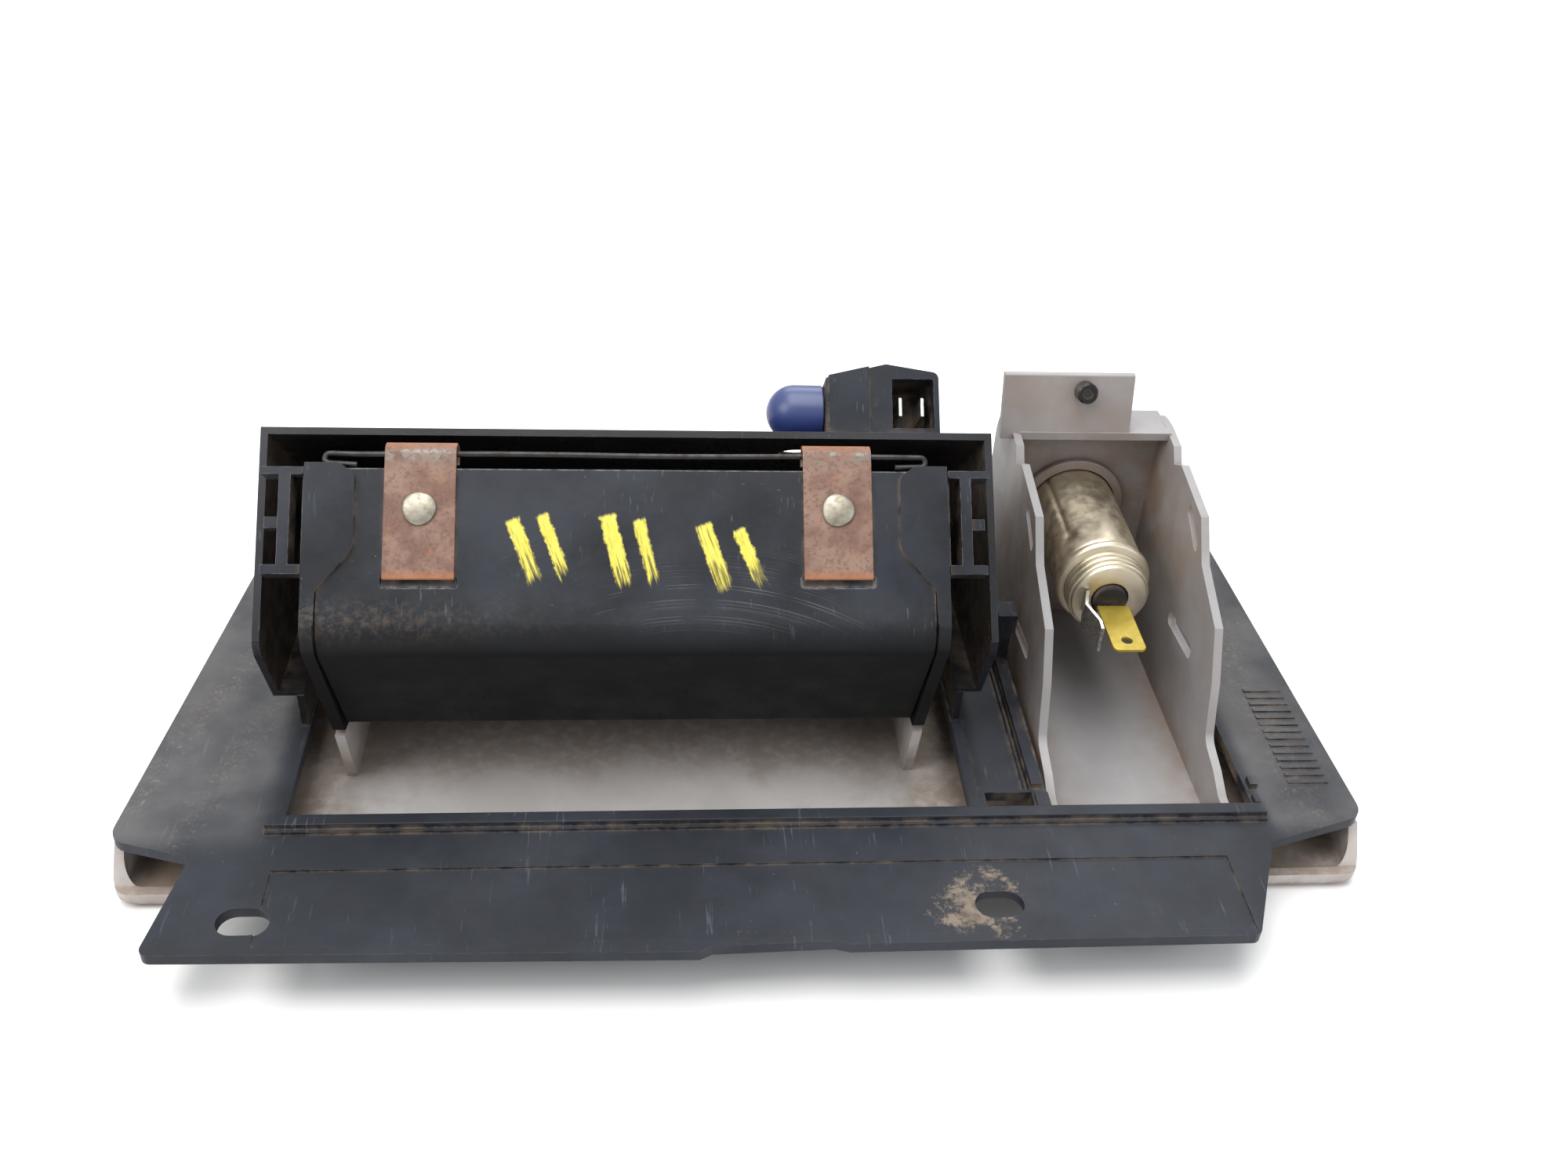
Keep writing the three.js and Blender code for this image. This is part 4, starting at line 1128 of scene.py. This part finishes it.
def socket_collar():
    d0, d1 = 87.0, 88.7
    r0, r1 = SOCKET_R + 0.3, SOCKET_R + 2.6
    profile = [(r0, d0), (r1 - 0.3, d0), (r1, d0 + 0.3), (r1, d1 - 0.3), (r1 - 0.3, d1), (r0, d1), (r0, d0)]
    place(turned("collar", profile, SOCKET_AT, (0, 1, 0), 64), "socket_collar", COLLAR_FINISH)


def plug_sleeve():
    """Tube with a bead, a lip at its mouth and a floor inside with a hole for the shaft."""
    r, end, floor, lip = 10.1, 62, 73, 94.1
    inner, hole = r - 0.6, 2.6
    profile = [(inner, end), (r - 0.2, end), (r, end + 0.3)]
    profile += bump_ring(r - 0.25, 0.25, 66, 68)
    profile += [(r, 70), (r, lip), (r + 1.3, lip), (r + 1.6, lip + 0.2)]
    profile += [(r + 1.6, lip + 0.5), (r + 1.3, lip + 0.7)]
    profile += [(inner, lip + 0.7), (inner, floor + 1), (hole, floor + 1), (hole, floor)]
    profile += [(inner, floor), (inner, end)]
    place(turned("sleeve", profile, SOCKET_AT, (0, 1, 0), 96), "plug_sleeve")


def plug_knob():
    """Dished knob with a shallow concentric step, on a shaft."""
    r, start, end = 9.2, 90, 106.5
    shaft, shaft_end = 2.0, 64.3
    profile = [(0, shaft_end), (shaft - 0.2, shaft_end), (shaft, shaft_end + 0.2), (shaft, start)]
    profile += [(r - 0.9, start), (r - 0.6, start + 0.3), (r - 0.6, 98.6), (r, 99), (r, end - 2)]
    angles = [math.radians(degrees) for degrees in range(9, 91, 9)]
    profile += [(r - 1.6 + 1.6 * math.cos(a), end - 2 + 2 * math.sin(a)) for a in angles]
    profile += [(6.4, end - 0.35), (6.1, end - 0.75), (4, end - 0.9), (0, end - 1.0)]
    place(turned("knob", profile, SOCKET_AT, (0, 1, 0), 96), "plug_knob")


def heating_element():
    """Shallow cup, open towards the socket's rear, with a flat spiral coil inside its rim."""
    cup, wall, rim, floor, back = 4.4, 0.8, 60.2, 62.4, 64
    inner = cup - wall
    profile = [(0, floor), (inner, floor), (inner, rim + 0.2), (inner + 0.2, rim)]
    profile += [(cup - 0.2, rim), (cup, rim + 0.2), (cup, back), (0, back)]
    place(turned("heating_cup", profile, SOCKET_AT, (0, 1, 0), 64), "heating_element")
    turns, steps = 5, 32
    points = []
    for k in range(turns * steps + 1):
        angle = 2 * math.pi * k / steps
        r = 0.4 + 2.9 * k / (turns * steps)
        points.append(at(SOCKET_X + r * math.cos(angle), 61.9, SOCKET_Z + r * math.sin(angle)))
    coil = swept("heating_coil", points, 0.2, 12)
    coil.data.materials.append(materials["element_metal"])
    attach(coil, "plug_core")


def plug_spring():
    """Coil between the sleeve's floor and the knob, which on the real lighter shortens as the knob goes in."""
    y0, y1, radius = 75.1, 89.0, 5
    turns, steps = 4, 32
    points = []
    for k in range(turns * steps + 1):
        angle = 2 * math.pi * k / steps
        y = y0 + (y1 - y0) * k / (turns * steps)
        points.append(at(SOCKET_X + radius * math.cos(angle), y, SOCKET_Z + radius * math.sin(angle)))
    piece = swept("spring", points, 0.5, 12)
    place(piece, "plug_spring")
    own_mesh(piece)


lighter_socket()
socket_insulator()
socket_collar()
plug_sleeve()
plug_knob()
heating_element()
plug_spring()

TAB_LEAN = 0.26  # radians: the tab above the lighter leans back
TAB_FOOT = (82.4, 53.4)  # Y and Z of the tab's foot
PEG_X = 83.4
PEG_Z = 65.4


def bracket_peg():
    """Peg through the leaning tab, wider on both sides of it."""
    foot_y, foot_z = TAB_FOOT
    centre = at(PEG_X, foot_y + (PEG_Z - foot_z) * math.tan(TAB_LEAN), PEG_Z)
    profile = [(0, -2.8), (1.2, -3.0), (1.4, -3.6), (2.2, -3.6), (2.6, -3.2), (2.6, -0.3)]
    profile += [(1.5, -0.3), (1.5, 2.6), (1.3, 2.8), (0, 2.8)]
    axis = (0, math.cos(TAB_LEAN), -math.sin(TAB_LEAN))
    place(turned("peg", profile, centre, axis, 48), "bracket_peg")


bracket_peg()
